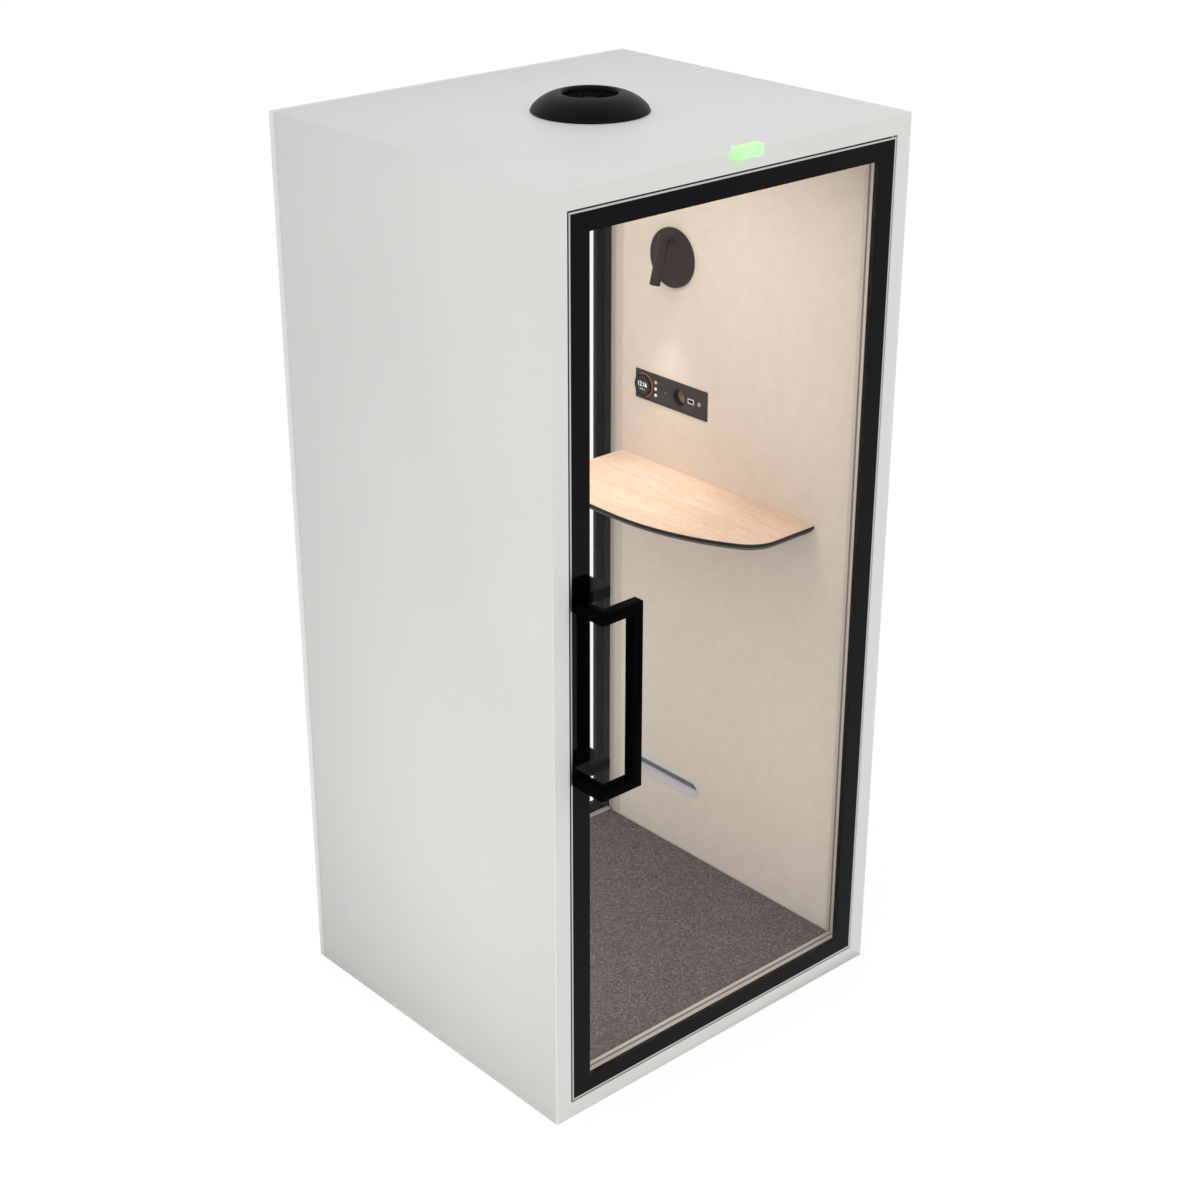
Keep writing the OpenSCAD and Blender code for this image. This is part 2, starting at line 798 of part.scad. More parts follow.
module panel_plate() {
    color([0.2, 0.19, 0.18])
    difference() {
        span([panel_x, panel_y0, panel_z - panel_h / 2], [cab_x, panel_y1, panel_z + panel_h / 2]);
        rod_x(socket_y, panel_z, socket_d + 2 * socket_wall + 2 * seat, panel_x - cut, cab_x + cut);
        rod_x(dial_y, panel_z, hub_d / 2 + 2 * seat, panel_x - cut, cab_x + cut);
        span([panel_x - cut, port_y - port_w / 2, panel_z - port_h / 2],
            [cab_x + cut, port_y + port_w / 2, panel_z + port_h / 2]);
        rod_x(jack_y, panel_z, jack_d + 2 * seat, panel_x - cut, cab_x + cut);
        span([panel_x - cut, lamp_dot_y - lamp_dot_w / 2, panel_z - lamp_dot_h],
            [cab_x + cut, lamp_dot_y + lamp_dot_w / 2, panel_z]);
        for (k = [-1 : 1]) rod_x(button_y, panel_z + k * button_pitch, button_d + 2 * button_clear,
            panel_x - cut, cab_x + cut);
    }
}

module panel_box() {
    color([0.12, 0.12, 0.12])
    difference() {
        span([cab_x, panel_y0 + box_in, panel_z - panel_h / 2 + box_in],
            [cab_x + box_d, panel_y1 - box_in, panel_z + panel_h / 2 - box_in]);
        rod_x(socket_y, panel_z, socket_d + 2 * socket_wall + 2 * seat, cab_x - cut,
            panel_x - socket_out + socket_in + socket_floor);
        span([cab_x - cut, port_y - port_w / 2, panel_z - port_h / 2],
            [panel_x + port_d, port_y + port_w / 2, panel_z + port_h / 2]);
        rod_x(jack_y, panel_z, jack_d + 2 * seat, cab_x - cut, panel_x + port_d);
        rod_x(dial_y, panel_z, hub_d / 2 + 2 * seat, cab_x - cut, cab_x + well_in);
        for (k = [-1 : 1]) rod_x(button_y, panel_z + k * button_pitch, well_d, cab_x - cut,
            cab_x + well_in);
    }
}

module display() {
    color([0.05, 0.06, 0.08]) {
        rod_x(dial_y, panel_z, hub_d - 2 * pin_clear, panel_x - dial_t + dial_lip, panel_x);
        rod_x(dial_y, panel_z, hub_d / 2, panel_x - cut, cab_x + well_in);
    }
}

module socket() {
    color([0.1, 0.1, 0.1])
    difference() {
        rod_x(socket_y, panel_z, socket_d + 2 * socket_wall, panel_x - socket_out,
            panel_x - socket_out + socket_in + socket_floor);
        rod_x(socket_y, panel_z, socket_d, panel_x - socket_out - cut,
            panel_x - socket_out + socket_in);
        for (s = [-1, 1]) rod_x(socket_y + s * contact_pitch / 2, panel_z, contact_d,
            panel_x - socket_out + socket_in - cut, panel_x - socket_out + socket_in + contact_in);
    }
}

module ports() {
    color([0.75, 0.74, 0.72]) {
        difference() {
            span([panel_x - port_out, port_y - port_w / 2, panel_z - port_h / 2],
                [panel_x + port_d, port_y + port_w / 2, panel_z + port_h / 2]);
            span([panel_x - port_out - cut, port_y - port_w / 2 + port_wall,
                    panel_z - port_h / 2 + port_wall],
                [panel_x - port_out + port_in, port_y + port_w / 2 - port_wall,
                    panel_z + port_h / 2 - port_wall]);
        }
        difference() {
            rod_x(jack_y, panel_z, jack_d, panel_x - port_out, panel_x + port_d);
            rod_x(jack_y, panel_z, jack_hole, panel_x - port_out - cut,
                panel_x - port_out + port_in);
        }
        span([panel_x - port_out, lamp_dot_y - lamp_dot_w / 2, panel_z - lamp_dot_h],
            [cab_x, lamp_dot_y + lamp_dot_w / 2, panel_z]);
    }
}

// Moulded scoop: lip on the felt, floor that rises to the grille, round ends
module vent_scoop() {
    in_len = vent_len - 2 * vent_lip;
    in_h = vent_h - 2 * vent_lip;
    color([0.79, 0.77, 0.75])
    difference() {
        union() {
            obround_x(vent_len, vent_h, cab_x - vent_face, cab_x);
            obround_x(in_len + 2 * vent_wall, in_h + 2 * vent_wall, cab_x,
                cab_x + vent_in + vent_wall);
        }
        intersection() {
            obround_x(in_len, in_h, cab_x - vent_face - cut, cab_x + vent_in + vent_wall + cut);
            translate([0, line + vent_len / 2, vent_z]) rotate([90, 0, 0])
                linear_extrude(vent_len) polygon([
                    [cab_x - vent_face - cut, -in_h], [cab_x - vent_face - cut, in_h],
                    [cab_x + vent_in + vent_wall + cut, in_h],
                    [cab_x + vent_in + vent_wall + cut, vent_rise - in_h / 2],
                    [cab_x + vent_in, vent_rise - in_h / 2],
                    [cab_x - vent_face, -in_h / 2], [cab_x - vent_face, -in_h]]);
        }
    }
}

module vent_grille() {
    in_len = vent_len - 2 * vent_lip;
    in_h = vent_h - 2 * vent_lip;
    cols = floor((in_len - in_h) / perf_pitch);
    rows = floor((in_h - vent_rise) / perf_pitch);
    color([0.16, 0.16, 0.17])
    difference() {
        intersection() {
            obround_x(in_len - 2 * seat, in_h - 2 * seat, cab_x + vent_in, cab_x + vent_in + grille_t);
            span([cab_x, line - vent_len, vent_z + vent_rise - in_h / 2],
                [cab_x + vent_len, line + vent_len, vent_z + vent_h]);
        }
        for (r = [0 : rows - 1], i = [0 : cols])
            rod_x(line + (i - cols / 2) * perf_pitch,
                vent_z + vent_rise - in_h / 2 + (r + 1) * perf_pitch - perf_d / 2,
                perf_d, cab_x + vent_in - cut, cab_x + vent_in + grille_t + cut);
    }
}

// Profile of the dome from its foot to the crest, bulging outwards
function dome_curve(r0, z0, r1, z1, b) = [for (i = [0 : arc_steps])
    let (t = i / arc_steps, k = 4 * t * (1 - t) * b, l = norm([r1 - r0, z1 - z0]))
    [r0 + (r1 - r0) * t + k * (z1 - z0) / l, z0 + (z1 - z0) * t + k * (r0 - r1) / l]];

module outlet_dome() {
    color([0.24, 0.24, 0.25])
    translate([0, mid, pod_h]) rotate_extrude() polygon(concat(
        [[dome_d / 2 - dome_wall, 0], [dome_d / 2, 0]],
        dome_curve(dome_d / 2, dome_foot, crest_r, dome_h, dome_bulge),
        [[crest_r - crest_out / 2, dome_h], [mouth_d / 2 + crest_out / 5, dome_h - crest_out / 4],
            [mouth_d / 2, dome_h - crest_out], [mouth_d / 2, 0],
            [mouth_d / 2 + dome_wall, 0],
            [mouth_d / 2 + dome_wall, dome_h - crest_out - dome_wall]],
        dome_curve(crest_r, dome_h - crest_out / 2 - dome_wall, dome_d / 2 - dome_wall,
            dome_foot - dome_wall / 2, dome_bulge)));
}

module outlet_grille() {
    color([0.07, 0.07, 0.08])
    translate([0, mid, pod_h + grille_z]) {
        difference() {
            cylinder(d = mouth_d - 2 * pin_clear, h = grille_h);
            translate([0, 0, -cut]) cylinder(d = mouth_d - 2 * grille_rim, h = grille_h + 2 * cut);
        }
        cylinder(d = grille_hub_d, h = grille_h);
        for (i = [0 : vanes - 1]) rotate(i * 360 / vanes)
            translate([grille_hub_d / 2 - cut, -vane_t / 2, 0])
                cube([(mouth_d - grille_hub_d - grille_rim) / 2 + cut, vane_t, grille_h]);
    }
}

module fan_frame() {
    color([0.13, 0.13, 0.14])
    translate([0, mid, fan_z]) {
        difference() {
            span([-fan_box / 2, -fan_box / 2, 0], [fan_box / 2, fan_box / 2, fan_t]);
            translate([0, 0, -cut]) cylinder(d = fan_bore, h = fan_t + 2 * cut);
        }
        difference() {
            union() {
                for (i = [0 : 2]) rotate(30 + i * 120)
                    span([0, -spider_t, 0], [fan_bore / 2 + cut / 2, spider_t, spider_t]);
                cylinder(d = fan_hub_d, h = spider_t);
            }
            translate([0, 0, -cut]) cylinder(d = fan_shaft_d + 2 * pin_clear, h = fan_t);
        }
    }
}

module fan_rotor() {
    color([0.2, 0.2, 0.21])
    translate([0, mid, fan_z]) {
        translate([0, 0, rest_gap]) cylinder(d = fan_shaft_d, h = spider_t + rest_gap);
        translate([0, 0, spider_t + rest_gap])
            cylinder(d = fan_hub_d, h = fan_t - spider_t - 2 * rest_gap);
        intersection() {
            translate([0, 0, spider_t + rest_gap])
                cylinder(d = fan_bore - 2 * fan_clear, h = fan_t - spider_t - 2 * rest_gap);
            for (i = [0 : blades - 1]) rotate(i * 360 / blades)
                translate([0, 0, (fan_t + spider_t) / 2]) rotate([blade_pitch, 0, 0])
                    span([fan_hub_d / 2 - spider_t, -fan_t, -blade_t / 2],
                        [fan_bore / 2, fan_t, blade_t / 2]);
        }
    }
}

module status_light() {
    z1 = pod_h + status_rise;
    z0 = z1 - status_h;
    y0 = front - status_d;
    color([0.8, 1, 0.75]) {
        span([-status_w / 2, y0 + status_r, z0], [status_w / 2, front, z1 - status_r]);
        span([-status_w / 2, y0, z0 + status_r], [status_w / 2, front, z1 - status_r]);
        span([-status_w / 2, y0 + status_r, z0], [status_w / 2, front - status_r, z1]);
        for (y = [y0 + status_r, front - status_r])
            rod_x(y, z1 - status_r, 2 * status_r, -status_w / 2, status_w / 2);
        rod_x(y0 + status_r, z0 + status_r, 2 * status_r, -status_w / 2, status_w / 2);
        for (s = [-1, 1]) rod_y(s * status_pitch / 2, pod_h - status_peg_z, status_peg_d,
            front - cut, status_peg_in + front);
    }
}

module mains_inlet() {
    x0 = hw - rim_side / 2 - inlet_w / 2;
    color([0.1, 0.1, 0.1])
    translate([x0, 0, inlet_z]) {
        difference() {
            span([0, back - inlet_d, 0], [inlet_w, back, inlet_h]);
            span([inlet_wall, back - inlet_in, inlet_wall],
                [inlet_w - inlet_wall, back + cut, inlet_h - inlet_wall]);
        }
        for (s = [-1 : 1])
            span([inlet_w / 2 + s * 1.6 * blade_w - blade_w / 8, back - inlet_in - cut,
                    inlet_h / 2 - blade_w / 2 + (1 - abs(s)) * blade_w / 2],
                [inlet_w / 2 + s * 1.6 * blade_w + blade_w / 8, back - inlet_wall,
                    inlet_h / 2 + blade_w / 2 + (1 - abs(s)) * blade_w / 2]);
    }
}

// Heights of the handle arms' centre lines
grip_zs = [grip_z + bar / 2, grip_z + grip_h - bar / 2];

module door_glass() {
    color([0.75, 0.82, 0.82, 0.35])
    difference() {
        span([-glass_x, front, glass_z0], [glass_x, glass_y, glass_z1]);
        for (z = grip_zs) rod_y(grip_x0 + bar / 2, z, bolt_d + 2 * bolt_clear, front - cut,
            glass_y + cut);
    }
}

module door_band() {
    color([0.1, 0.11, 0.12])
    difference() {
        span([-glass_x, glass_y, glass_z0], [glass_x, leaf_y, glass_z1]);
        span([-band_x, glass_y - cut, glass_z0 + band_end],
            [band_x, leaf_y + cut, glass_z1 - band_end]);
        for (z = grip_zs) rod_y(grip_x0 + bar / 2, z, bolt_head_d, glass_y - cut, leaf_y + cut);
    }
}

module door_profile() {
    color([0.8, 0.8, 0.8])
    difference() {
        ring(leaf_x, leaf_z0, leaf_z1, profile_w, front, leaf_y);
        rod_z(pivot_x, pivot_y, pivot_d + 2 * bolt_clear, leaf_z0 - cut, leaf_z1 + cut);
    }
}

module handle_out() {
    color([0.07, 0.065, 0.06])
    difference() {
        union() {
            for (z = [grip_z, grip_z + grip_h - bar]) {
                span([grip_x0, front - grip_out, z], [grip_x0 + bar, front, z + bar]);
                span([grip_x0, front - grip_out, z], [grip_x1, bar - grip_out + front, z + bar]);
            }
            span([grip_x1 - bar, front - grip_out, grip_z],
                [grip_x1, bar - grip_out + front, grip_z + grip_h]);
        }
        for (z = grip_zs) rod_y(grip_x0 + bar / 2, z, bolt_d + 2 * bolt_clear,
            front - bolt_in - rest_gap, cut + front);
    }
}

// Each arm lies on the band and the clear glass, then runs in to the grip
module handle_in() {
    color([0.07, 0.065, 0.06]) {
        for (z = [grip_z, grip_z + grip_h - bar]) {
            span([root_x, leaf_y, z], [grip_x1, leaf_y + bar, z + bar]);
            span([seat - band_x, glass_y, z], [grip_x1, leaf_y + bar, z + bar]);
            span([grip_x1 - bar, leaf_y, z], [grip_x1, glass_y + grip_out, z + bar]);
        }
        span([grip_x1 - bar, glass_y + grip_out - bar, grip_z],
            [grip_x1, glass_y + grip_out, grip_z + grip_h]);
    }
}

module door_pins() {
    color("silver") {
        rod_z(pivot_x, pivot_y, pivot_d, open_z0 - pin_reach, glass_z0);
        rod_z(pivot_x, pivot_y, collar_d, open_z0 + rest_gap, leaf_z0);
        rod_z(pivot_x, pivot_y, pivot_d, glass_z1, open_z1 + pin_reach);
        rod_z(pivot_x, pivot_y, collar_d, leaf_z1, open_z1 - rest_gap);
    }
}

module handle_bolts() {
    color("silver")
    for (z = grip_zs) {
        rod_y(grip_x0 + bar / 2, z, bolt_d, front - bolt_in, leaf_y);
        rod_y(grip_x0 + bar / 2, z, bolt_head_d - 2 * pin_clear, glass_y, leaf_y);
    }
}

module dial_ring() {
    color([0.09, 0.09, 0.1])
    difference() {
        rod_x(dial_y, panel_z, dial_d, panel_x - dial_t, panel_x - rest_gap);
        rod_x(dial_y, panel_z, hub_d, panel_x - dial_t - cut, panel_x + cut);
    }
}

module button(k) {
    color([0.82, 0.8, 0.78]) {
        rod_x(button_y, panel_z + k * button_pitch, button_d, panel_x - button_out,
            cab_x + rest_gap);
        rod_x(button_y, panel_z + k * button_pitch, well_d - 2 * rest_gap, cab_x + rest_gap,
            cab_x + rest_gap + button_flange);
    }
}

module button_a() { button(1); }
module button_b() { button(0); }
module button_c() { button(-1); }

feet();
floor_deck();
carpet();
sill();
frame_strips();
kick_plate();
skirtings();
left_shell();
right_shell();
roof_shell();
rear_frame();
left_core();
right_core();
roof_core();
left_felt();
right_felt();
ceiling_panel();
front_post_left();
front_post_right();
front_header();
rear_post_left();
rear_post_right();
rear_header();
rear_sill();
seals();
rear_glass();
rear_band();
pivot_bearings();
desk_top();
desk_core();
desk_plate();
desk_brackets();
lamp_plate();
panel_plate();
panel_box();
display();
socket();
ports();
vent_scoop();
vent_grille();
outlet_dome();
outlet_grille();
fan_frame();
status_light();
mains_inlet();
door_glass();
door_band();
door_profile();
handle_out();
handle_in();
door_pins();
handle_bolts();
lamp_arm();
lamp_head();
lamp_lens();
dial_ring();
button_a();
button_b();
button_c();
fan_rotor();
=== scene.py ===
# %% [markdown]
# # An acoustic pod for one person
# The measured parts arrive as a fixed frame. Some of them are shown as they are and only get
# a finish. The others get a stand-in with rounded edges, a folded skin or a pressed outline,
# made here in the same place.
# %% Load the frame
import json
import math

import bmesh
import bpy
from mathutils import Matrix, Vector


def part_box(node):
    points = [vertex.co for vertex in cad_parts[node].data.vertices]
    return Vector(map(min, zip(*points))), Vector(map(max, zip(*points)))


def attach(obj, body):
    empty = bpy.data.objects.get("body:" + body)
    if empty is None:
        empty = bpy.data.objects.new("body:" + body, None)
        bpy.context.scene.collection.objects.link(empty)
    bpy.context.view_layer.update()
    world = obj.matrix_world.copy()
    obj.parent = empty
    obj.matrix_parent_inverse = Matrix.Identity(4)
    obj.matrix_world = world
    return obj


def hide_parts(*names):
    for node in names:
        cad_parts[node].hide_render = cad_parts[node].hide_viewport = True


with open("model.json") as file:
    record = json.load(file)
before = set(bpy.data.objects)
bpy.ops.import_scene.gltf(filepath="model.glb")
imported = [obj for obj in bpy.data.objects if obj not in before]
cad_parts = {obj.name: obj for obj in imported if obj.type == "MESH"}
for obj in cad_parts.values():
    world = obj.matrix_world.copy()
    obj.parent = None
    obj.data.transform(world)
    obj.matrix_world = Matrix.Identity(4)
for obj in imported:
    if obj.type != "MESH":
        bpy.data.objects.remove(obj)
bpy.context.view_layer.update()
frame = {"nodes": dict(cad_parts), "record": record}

parts = frame["nodes"]
home = {n: b for b, names in frame["record"]["behaviour"]["bodies"].items() for n in names}

# %% [markdown]
# ## Places that everything else is measured from
# The casing's faces are read from the parts, so a stand-in follows its part when a size
# changes. The door faces -Y, the desk hangs on the wall at +X.
# %% Read the main faces
MM = 0.001
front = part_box("left_shell")[0].y
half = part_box("right_shell")[1].x
low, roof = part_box("left_shell")[0].z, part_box("roof_shell")[1].z
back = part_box("rear_frame")[1].y
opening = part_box("kick_plate")[1].x
sill_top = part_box("kick_plate")[1].z
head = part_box("front_header")[1].z
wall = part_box("right_felt")[0].x
mid = (front + back) / 2
print("casing", round(2 * half, 4), round(back - front, 4), round(roof, 4))

# %% [markdown]
# ## Small helpers
# One function turns a written colour into the linear numbers that shaders use. One adds any
# node, to a shader tree or to a geometry tree, with its settings and links, and one turns a
# written sum into the nodes that reckon it. Pattern sizes are written in millimetres, and
# `per` turns such a size into a texture scale.
# %% Colours and nodes


def colour(code):
    """An sRGB hex code as linear red, green, blue and alpha."""
    shares = [int(code[i:i + 2], 16) / 255 for i in (1, 3, 5)]
    return [c / 12.92 if c <= 0.04045 else ((c + 0.055) / 1.055) ** 2.4 for c in shares] + [1.0]


def feed(tree, node, inputs):
    """Give a node its inputs. A socket is linked, anything else is the input's own value."""
    for key, value in inputs.items():
        if isinstance(value, bpy.types.NodeSocket):
            tree.links.new(value, node.inputs[key])
        else:
            node.inputs[key].default_value = value
    return node


def put(tree, kind, inputs=None, **settings):
    """Add one node with its own settings and its inputs."""
    made = tree.nodes.new(kind)
    for key, value in settings.items():
        setattr(made, key, value)
    return feed(tree, made, inputs or {})


def reckon(tree, sum_of):
    """Turn a written sum such as ("ADD", socket, ("MULTIPLY", socket, 2.0)) into nodes."""
    if not isinstance(sum_of, tuple):
        return sum_of
    terms = {i: reckon(tree, term) for i, term in enumerate(sum_of[1:])}
    return put(tree, "ShaderNodeMath", terms, operation=sum_of[0]).outputs[0]


def per(mm):
    """Texture scale for a pattern of this size."""
    return 1 / (mm * MM)


def bare_tree(data):
    """The emptied node tree of a material or of the world."""
    data.use_nodes = True
    data.node_tree.nodes.clear()
    return data.node_tree


def finish(name):
    """A new material: itself, its tree, its shader and the object coordinates."""
    print("finish:", name)
    made = bpy.data.materials.new(name)
    tree = bare_tree(made)
    shader = put(tree, "ShaderNodeBsdfPrincipled")
    put(tree, "ShaderNodeOutputMaterial", {"Surface": shader.outputs[0]})
    return made, tree, shader, put(tree, "ShaderNodeTexCoord").outputs["Object"]


def placed(name, data):
    """A new object in the scene."""
    made = bpy.data.objects.new(name, data)
    bpy.context.scene.collection.objects.link(made)
    return made


# %% [markdown]
# ## The camera
# The picture is taken from in front of the door's free side, a little over three metres up,
# with a short telephoto lens that looks down by 25 degrees. The lens has no shift, so it
# serves any other view as well.
# %% Camera
eye = Vector((-3.060, -3.434 + mid, 3.119))
turn, down, roll = (math.radians(angle) for angle in (41.98, 25.01, 0.10))
ahead = Vector((math.sin(turn) * math.cos(down), math.cos(turn) * math.cos(down), -math.sin(down)))
lens = bpy.data.cameras.new("lens")
lens.lens, lens.sensor_width = 66.1, 36.0
lens.clip_start, lens.clip_end = 0.05, 200
camera = placed("camera", lens)
camera.location = eye
camera.rotation_mode = "QUATERNION"
camera.rotation_quaternion = (ahead.to_track_quat("-Z", "Y").to_matrix()
                              @ Matrix.Rotation(roll, 3, "Z")).to_quaternion()
bpy.context.scene.camera = camera
print("camera at", [round(v, 3) for v in eye], "lens", round(lens.lens, 1), "mm")

# %% [markdown]
# ## The studio
# A pale floor runs far out under the pod. To the camera, and in glass and metal, it shows
# nearly white while it still keeps the pod's shadow: a part of its light is its own, and
# only for those rays. Everything else sees an ordinary pale floor.
# %% Floor
paper = bpy.data.materials.new("studio paper")
tree = bare_tree(paper)
ray = put(tree, "ShaderNodeLightPath").outputs
seen = ("MAXIMUM", ("MAXIMUM", ray["Is Camera Ray"], ray["Is Glossy Ray"]),
        ray["Is Transmission Ray"])
share = reckon(tree, ("MULTIPLY", seen, 0.8))
matt = put(tree, "ShaderNodeBsdfDiffuse", {"Color": colour("#E6E6E5")}).outputs[0]
glow = put(tree, "ShaderNodeEmission", {"Color": (1, 1, 1, 1), "Strength": 1.08}).outputs[0]
put(tree, "ShaderNodeOutputMaterial",
    {0: put(tree, "ShaderNodeMixShader", {0: share, 1: matt, 2: glow}).outputs[0]})
far = 60
floor_mesh = bpy.data.meshes.new("floor")
floor_mesh.from_pydata([(-far, -far, 0), (far, -far, 0), (far, far, 0), (-far, far, 0)],
                       [], [(0, 1, 2, 3)])
floor_mesh.materials.append(paper)
placed("studio_floor", floor_mesh)
print("floor", 2 * far, "m across")

# %% [markdown]
# ## The light
# Even white light from all round gives each colour about as it is written. Two large soft
# panels add a gentle difference between the door side and the long side, and a dim strip
# near the floor lifts the foot of the long side. Inside, a flat panel under the ceiling, a
# dim one low on the left wall and the lamp's own warm beam light the felt. The panels close
# to the pod are hidden, so neither the camera nor the glass shows them.
# %% World and lamps
world = bpy.data.worlds.new("studio air")
tree = bare_tree(world)
ray = put(tree, "ShaderNodeLightPath").outputs
air = put(tree, "ShaderNodeBackground", {"Color": (1, 1, 1, 1), "Strength": 0.93}).outputs[0]
white = put(tree, "ShaderNodeBackground", {"Color": (1, 1, 1, 1), "Strength": 1.0}).outputs[0]
put(tree, "ShaderNodeOutputWorld",
    {0: put(tree, "ShaderNodeMixShader", {0: ray["Is Camera Ray"], 1: air, 2: white}).outputs[0]})
bpy.context.scene.world = world
bpy.context.scene.view_settings.view_transform = "Standard"


def lamp(name, place, aim, size, watts, tint=(1, 1, 1), kind="AREA", hidden=False):
    """A soft light at a place, aimed at a point. The size is a panel's, or a spot's cone."""
    data = bpy.data.lights.new(name, kind)
    data.energy, data.color = watts, tint
    if kind == "AREA":
        data.shape, data.size, data.size_y = "RECTANGLE", *size
    if kind == "SPOT":
        data.spot_size, data.spot_blend, data.shadow_soft_size = *size, 0.02
    made = placed(name, data)
    made.location = place
    made.rotation_mode = "QUATERNION"
    made.rotation_quaternion = (Vector(aim) - Vector(place)).to_track_quat("-Z", "Y")
    if hidden:
        made.visible_camera = made.visible_glossy = made.visible_transmission = False
    return made


warm = (1.0, 0.955, 0.915)
under_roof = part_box("ceiling_panel")[0].z - 0.03
fill_z = 0.52
lamp("door side panel", (-1.0, -5.5, 3.2), (0, 0, 1.1), (3.5, 3.0), 31)
lamp("long side panel", (-5.5, 0.9, 1.4), (0, 0.1, 0.7), (3.0, 3.0), 25)
lamp("low side panel", (-1.45, mid, 0.3), (-half, mid, 0.12), (1.6, 0.3), 2.8, hidden=True)
lamp("cabin panel", (-0.1, mid, under_roof), (-0.1, mid, 0), (0.5, 0.6), 4.1, warm, hidden=True)
lamp("cabin fill", (-wall + 0.03, mid, fill_z), (wall, mid, fill_z), (0.6, 0.85), 2.4, warm,
     hidden=True)
print("lamps", len(bpy.data.lights))

# %% [markdown]
# ## Ways of making a piece
# `stand` puts a finished mesh into the scene, lets it ride on a body and hides the parts it
# stands for. `baked` takes the mesh that modifiers make, so no modifier stays behind.
# `rounded` copies a part, joins its corners and rounds its edges, as a file or a folding
# machine would leave them: a perfectly sharp edge never shows a highlight.
# %% Making and rounding


def stand(name, mesh, body, looks, replaces=()):
    """Show a mesh under a name, on a body, with its finishes, in place of these parts."""
    print("piece:", name, "on", body, "with", len(mesh.polygons), "faces")
    made = placed(name, mesh)
    mesh.materials.clear()
    for look in looks:
        mesh.materials.append(look)
    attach(made, body)
    if replaces:
        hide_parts(*replaces)
    return made


def mesh_of(work, name):
    """The mesh of a worked shape, which is then let go."""
    made = bpy.data.meshes.new(name)
    work.to_mesh(made)
    work.free()
    return made


def baked(source):
    """The mesh that an object's modifiers make. The working object goes."""
    bpy.context.view_layer.update()
    made = bpy.data.meshes.new_from_object(
        source.evaluated_get(bpy.context.evaluated_depsgraph_get()))
    bpy.data.objects.remove(source)
    return made


def bevel(source, mm, segments=3, angle=30, limit="ANGLE"):
    """Add an edge rounding of this width."""
    made = source.modifiers.new("round", "BEVEL")
    made.width, made.segments, made.limit_method = mm * MM, segments, limit
    made.angle_limit = math.radians(angle)
    made.use_clamp_overlap = True
    made.harden_normals = True


def joined_mesh(node):
    """A copy of a part's mesh with shared corners and without needless edges."""
    work = bmesh.new()
    work.from_mesh(parts[node].data)
    bmesh.ops.remove_doubles(work, verts=work.verts, dist=0.002 * MM)
    bmesh.ops.dissolve_limit(work, angle_limit=math.radians(0.4), use_dissolve_boundaries=False,
                             verts=work.verts, edges=work.edges)
    for face in work.faces:
        face.smooth = True
    return mesh_of(work, node + "_copy")


def rounded(node, mm, look, segments=3, flat=False):
    """Stand a part's rounded copy in its place. A large plate with holes is shaded flat."""
    source = placed("draft", joined_mesh(node))
    bevel(source, mm, segments)
    mesh = baked(source)
    if flat:
        if "custom_normal" in mesh.attributes:
            mesh.attributes.remove(mesh.attributes["custom_normal"])
        mesh.shade_flat()
    return stand(node + "_rounded", mesh, home[node], [look], [node])


def coat(look, *names):
    """Give carried-over parts this finish."""
    print("parts in", look.name + ":", *names)
    for name in names:
        for slot in parts[name].material_slots:
            slot.material = look


# %% [markdown]
# ## Geometry trees
# What repeats or follows a rule is grown by Geometry Nodes: a lathe, blades round a hub, holes
# in a sheet, a line along an arc. `plant` starts such a tree with its named sizes, `harvest`
# ends it, `grow` runs it once and keeps only the plain mesh, and `sealed` joins the corners
# and turns all faces outwards, because a swept shape may come out inside out.
# %% Plant, grow and seal


def plant(name, measures, counts=()):
    """Start a geometry tree with these inputs. Returns it and its inputs by name."""
    tree = bpy.data.node_groups.new(name, "GeometryNodeTree")
    for way in ("OUTPUT", "INPUT"):
        tree.interface.new_socket("Geometry", in_out=way, socket_type="NodeSocketGeometry")
    for kind, keys in (("Float", measures), ("Int", counts), ("Material", ("Finish",))):
        for key in keys:
            tree.interface.new_socket(key, in_out="INPUT", socket_type="NodeSocket" + kind)
    return tree, tree.nodes.new("NodeGroupInput").outputs


def harvest(tree, shape, look):
    """End a tree: real geometry instead of instances, one finish."""
    real = put(tree, "GeometryNodeRealizeInstances", {"Geometry": shape}).outputs[0]
    done = put(tree, "GeometryNodeSetMaterial", {"Geometry": real, "Material": look}).outputs[0]
    put(tree, "NodeGroupOutput", {0: done})


def sealed(mesh, smooth=30):
    """Join corners, turn faces outwards and smooth all but sharp edges."""
    work = bmesh.new()
    work.from_mesh(mesh)
    bmesh.ops.remove_doubles(work, verts=work.verts, dist=0.01 * MM)
    bmesh.ops.recalc_face_normals(work, faces=work.faces)
    if work.calc_volume(signed=True) < 0:
        bmesh.ops.reverse_faces(work, faces=work.faces)
    for face in work.faces:
        face.smooth = True
    for edge in work.edges:
        edge.smooth = len(edge.link_faces) == 2 and edge.calc_face_angle() < math.radians(smooth)
    work.to_mesh(mesh)
    work.free()
    return mesh


def grow(tree, sizes, look, seed=None):
    """Run a tree with these sizes and keep its mesh."""
    source = placed("draft", seed or bpy.data.meshes.new("seed"))
    run = source.modifiers.new("grow", "NODES")
    run.node_group = tree
    sizes = {**sizes, "Finish": look}
    for item in tree.interface.items_tree:
        if item.in_out == "INPUT" and item.name in sizes:
            run[item.identifier] = sizes[item.name]
    return sealed(baked(source))


def line_mesh(points):
    """A closed chain of edges through these points, for a tree to take as a curve."""
    made = bpy.data.meshes.new("line")
    made.from_pydata(points, [(i, (i + 1) % len(points)) for i in range(len(points))], [])
    return made


def together(*meshes):
    """Several meshes as one."""
    work = bmesh.new()
    for mesh in meshes:
        work.from_mesh(mesh)
    return mesh_of(work, "together")


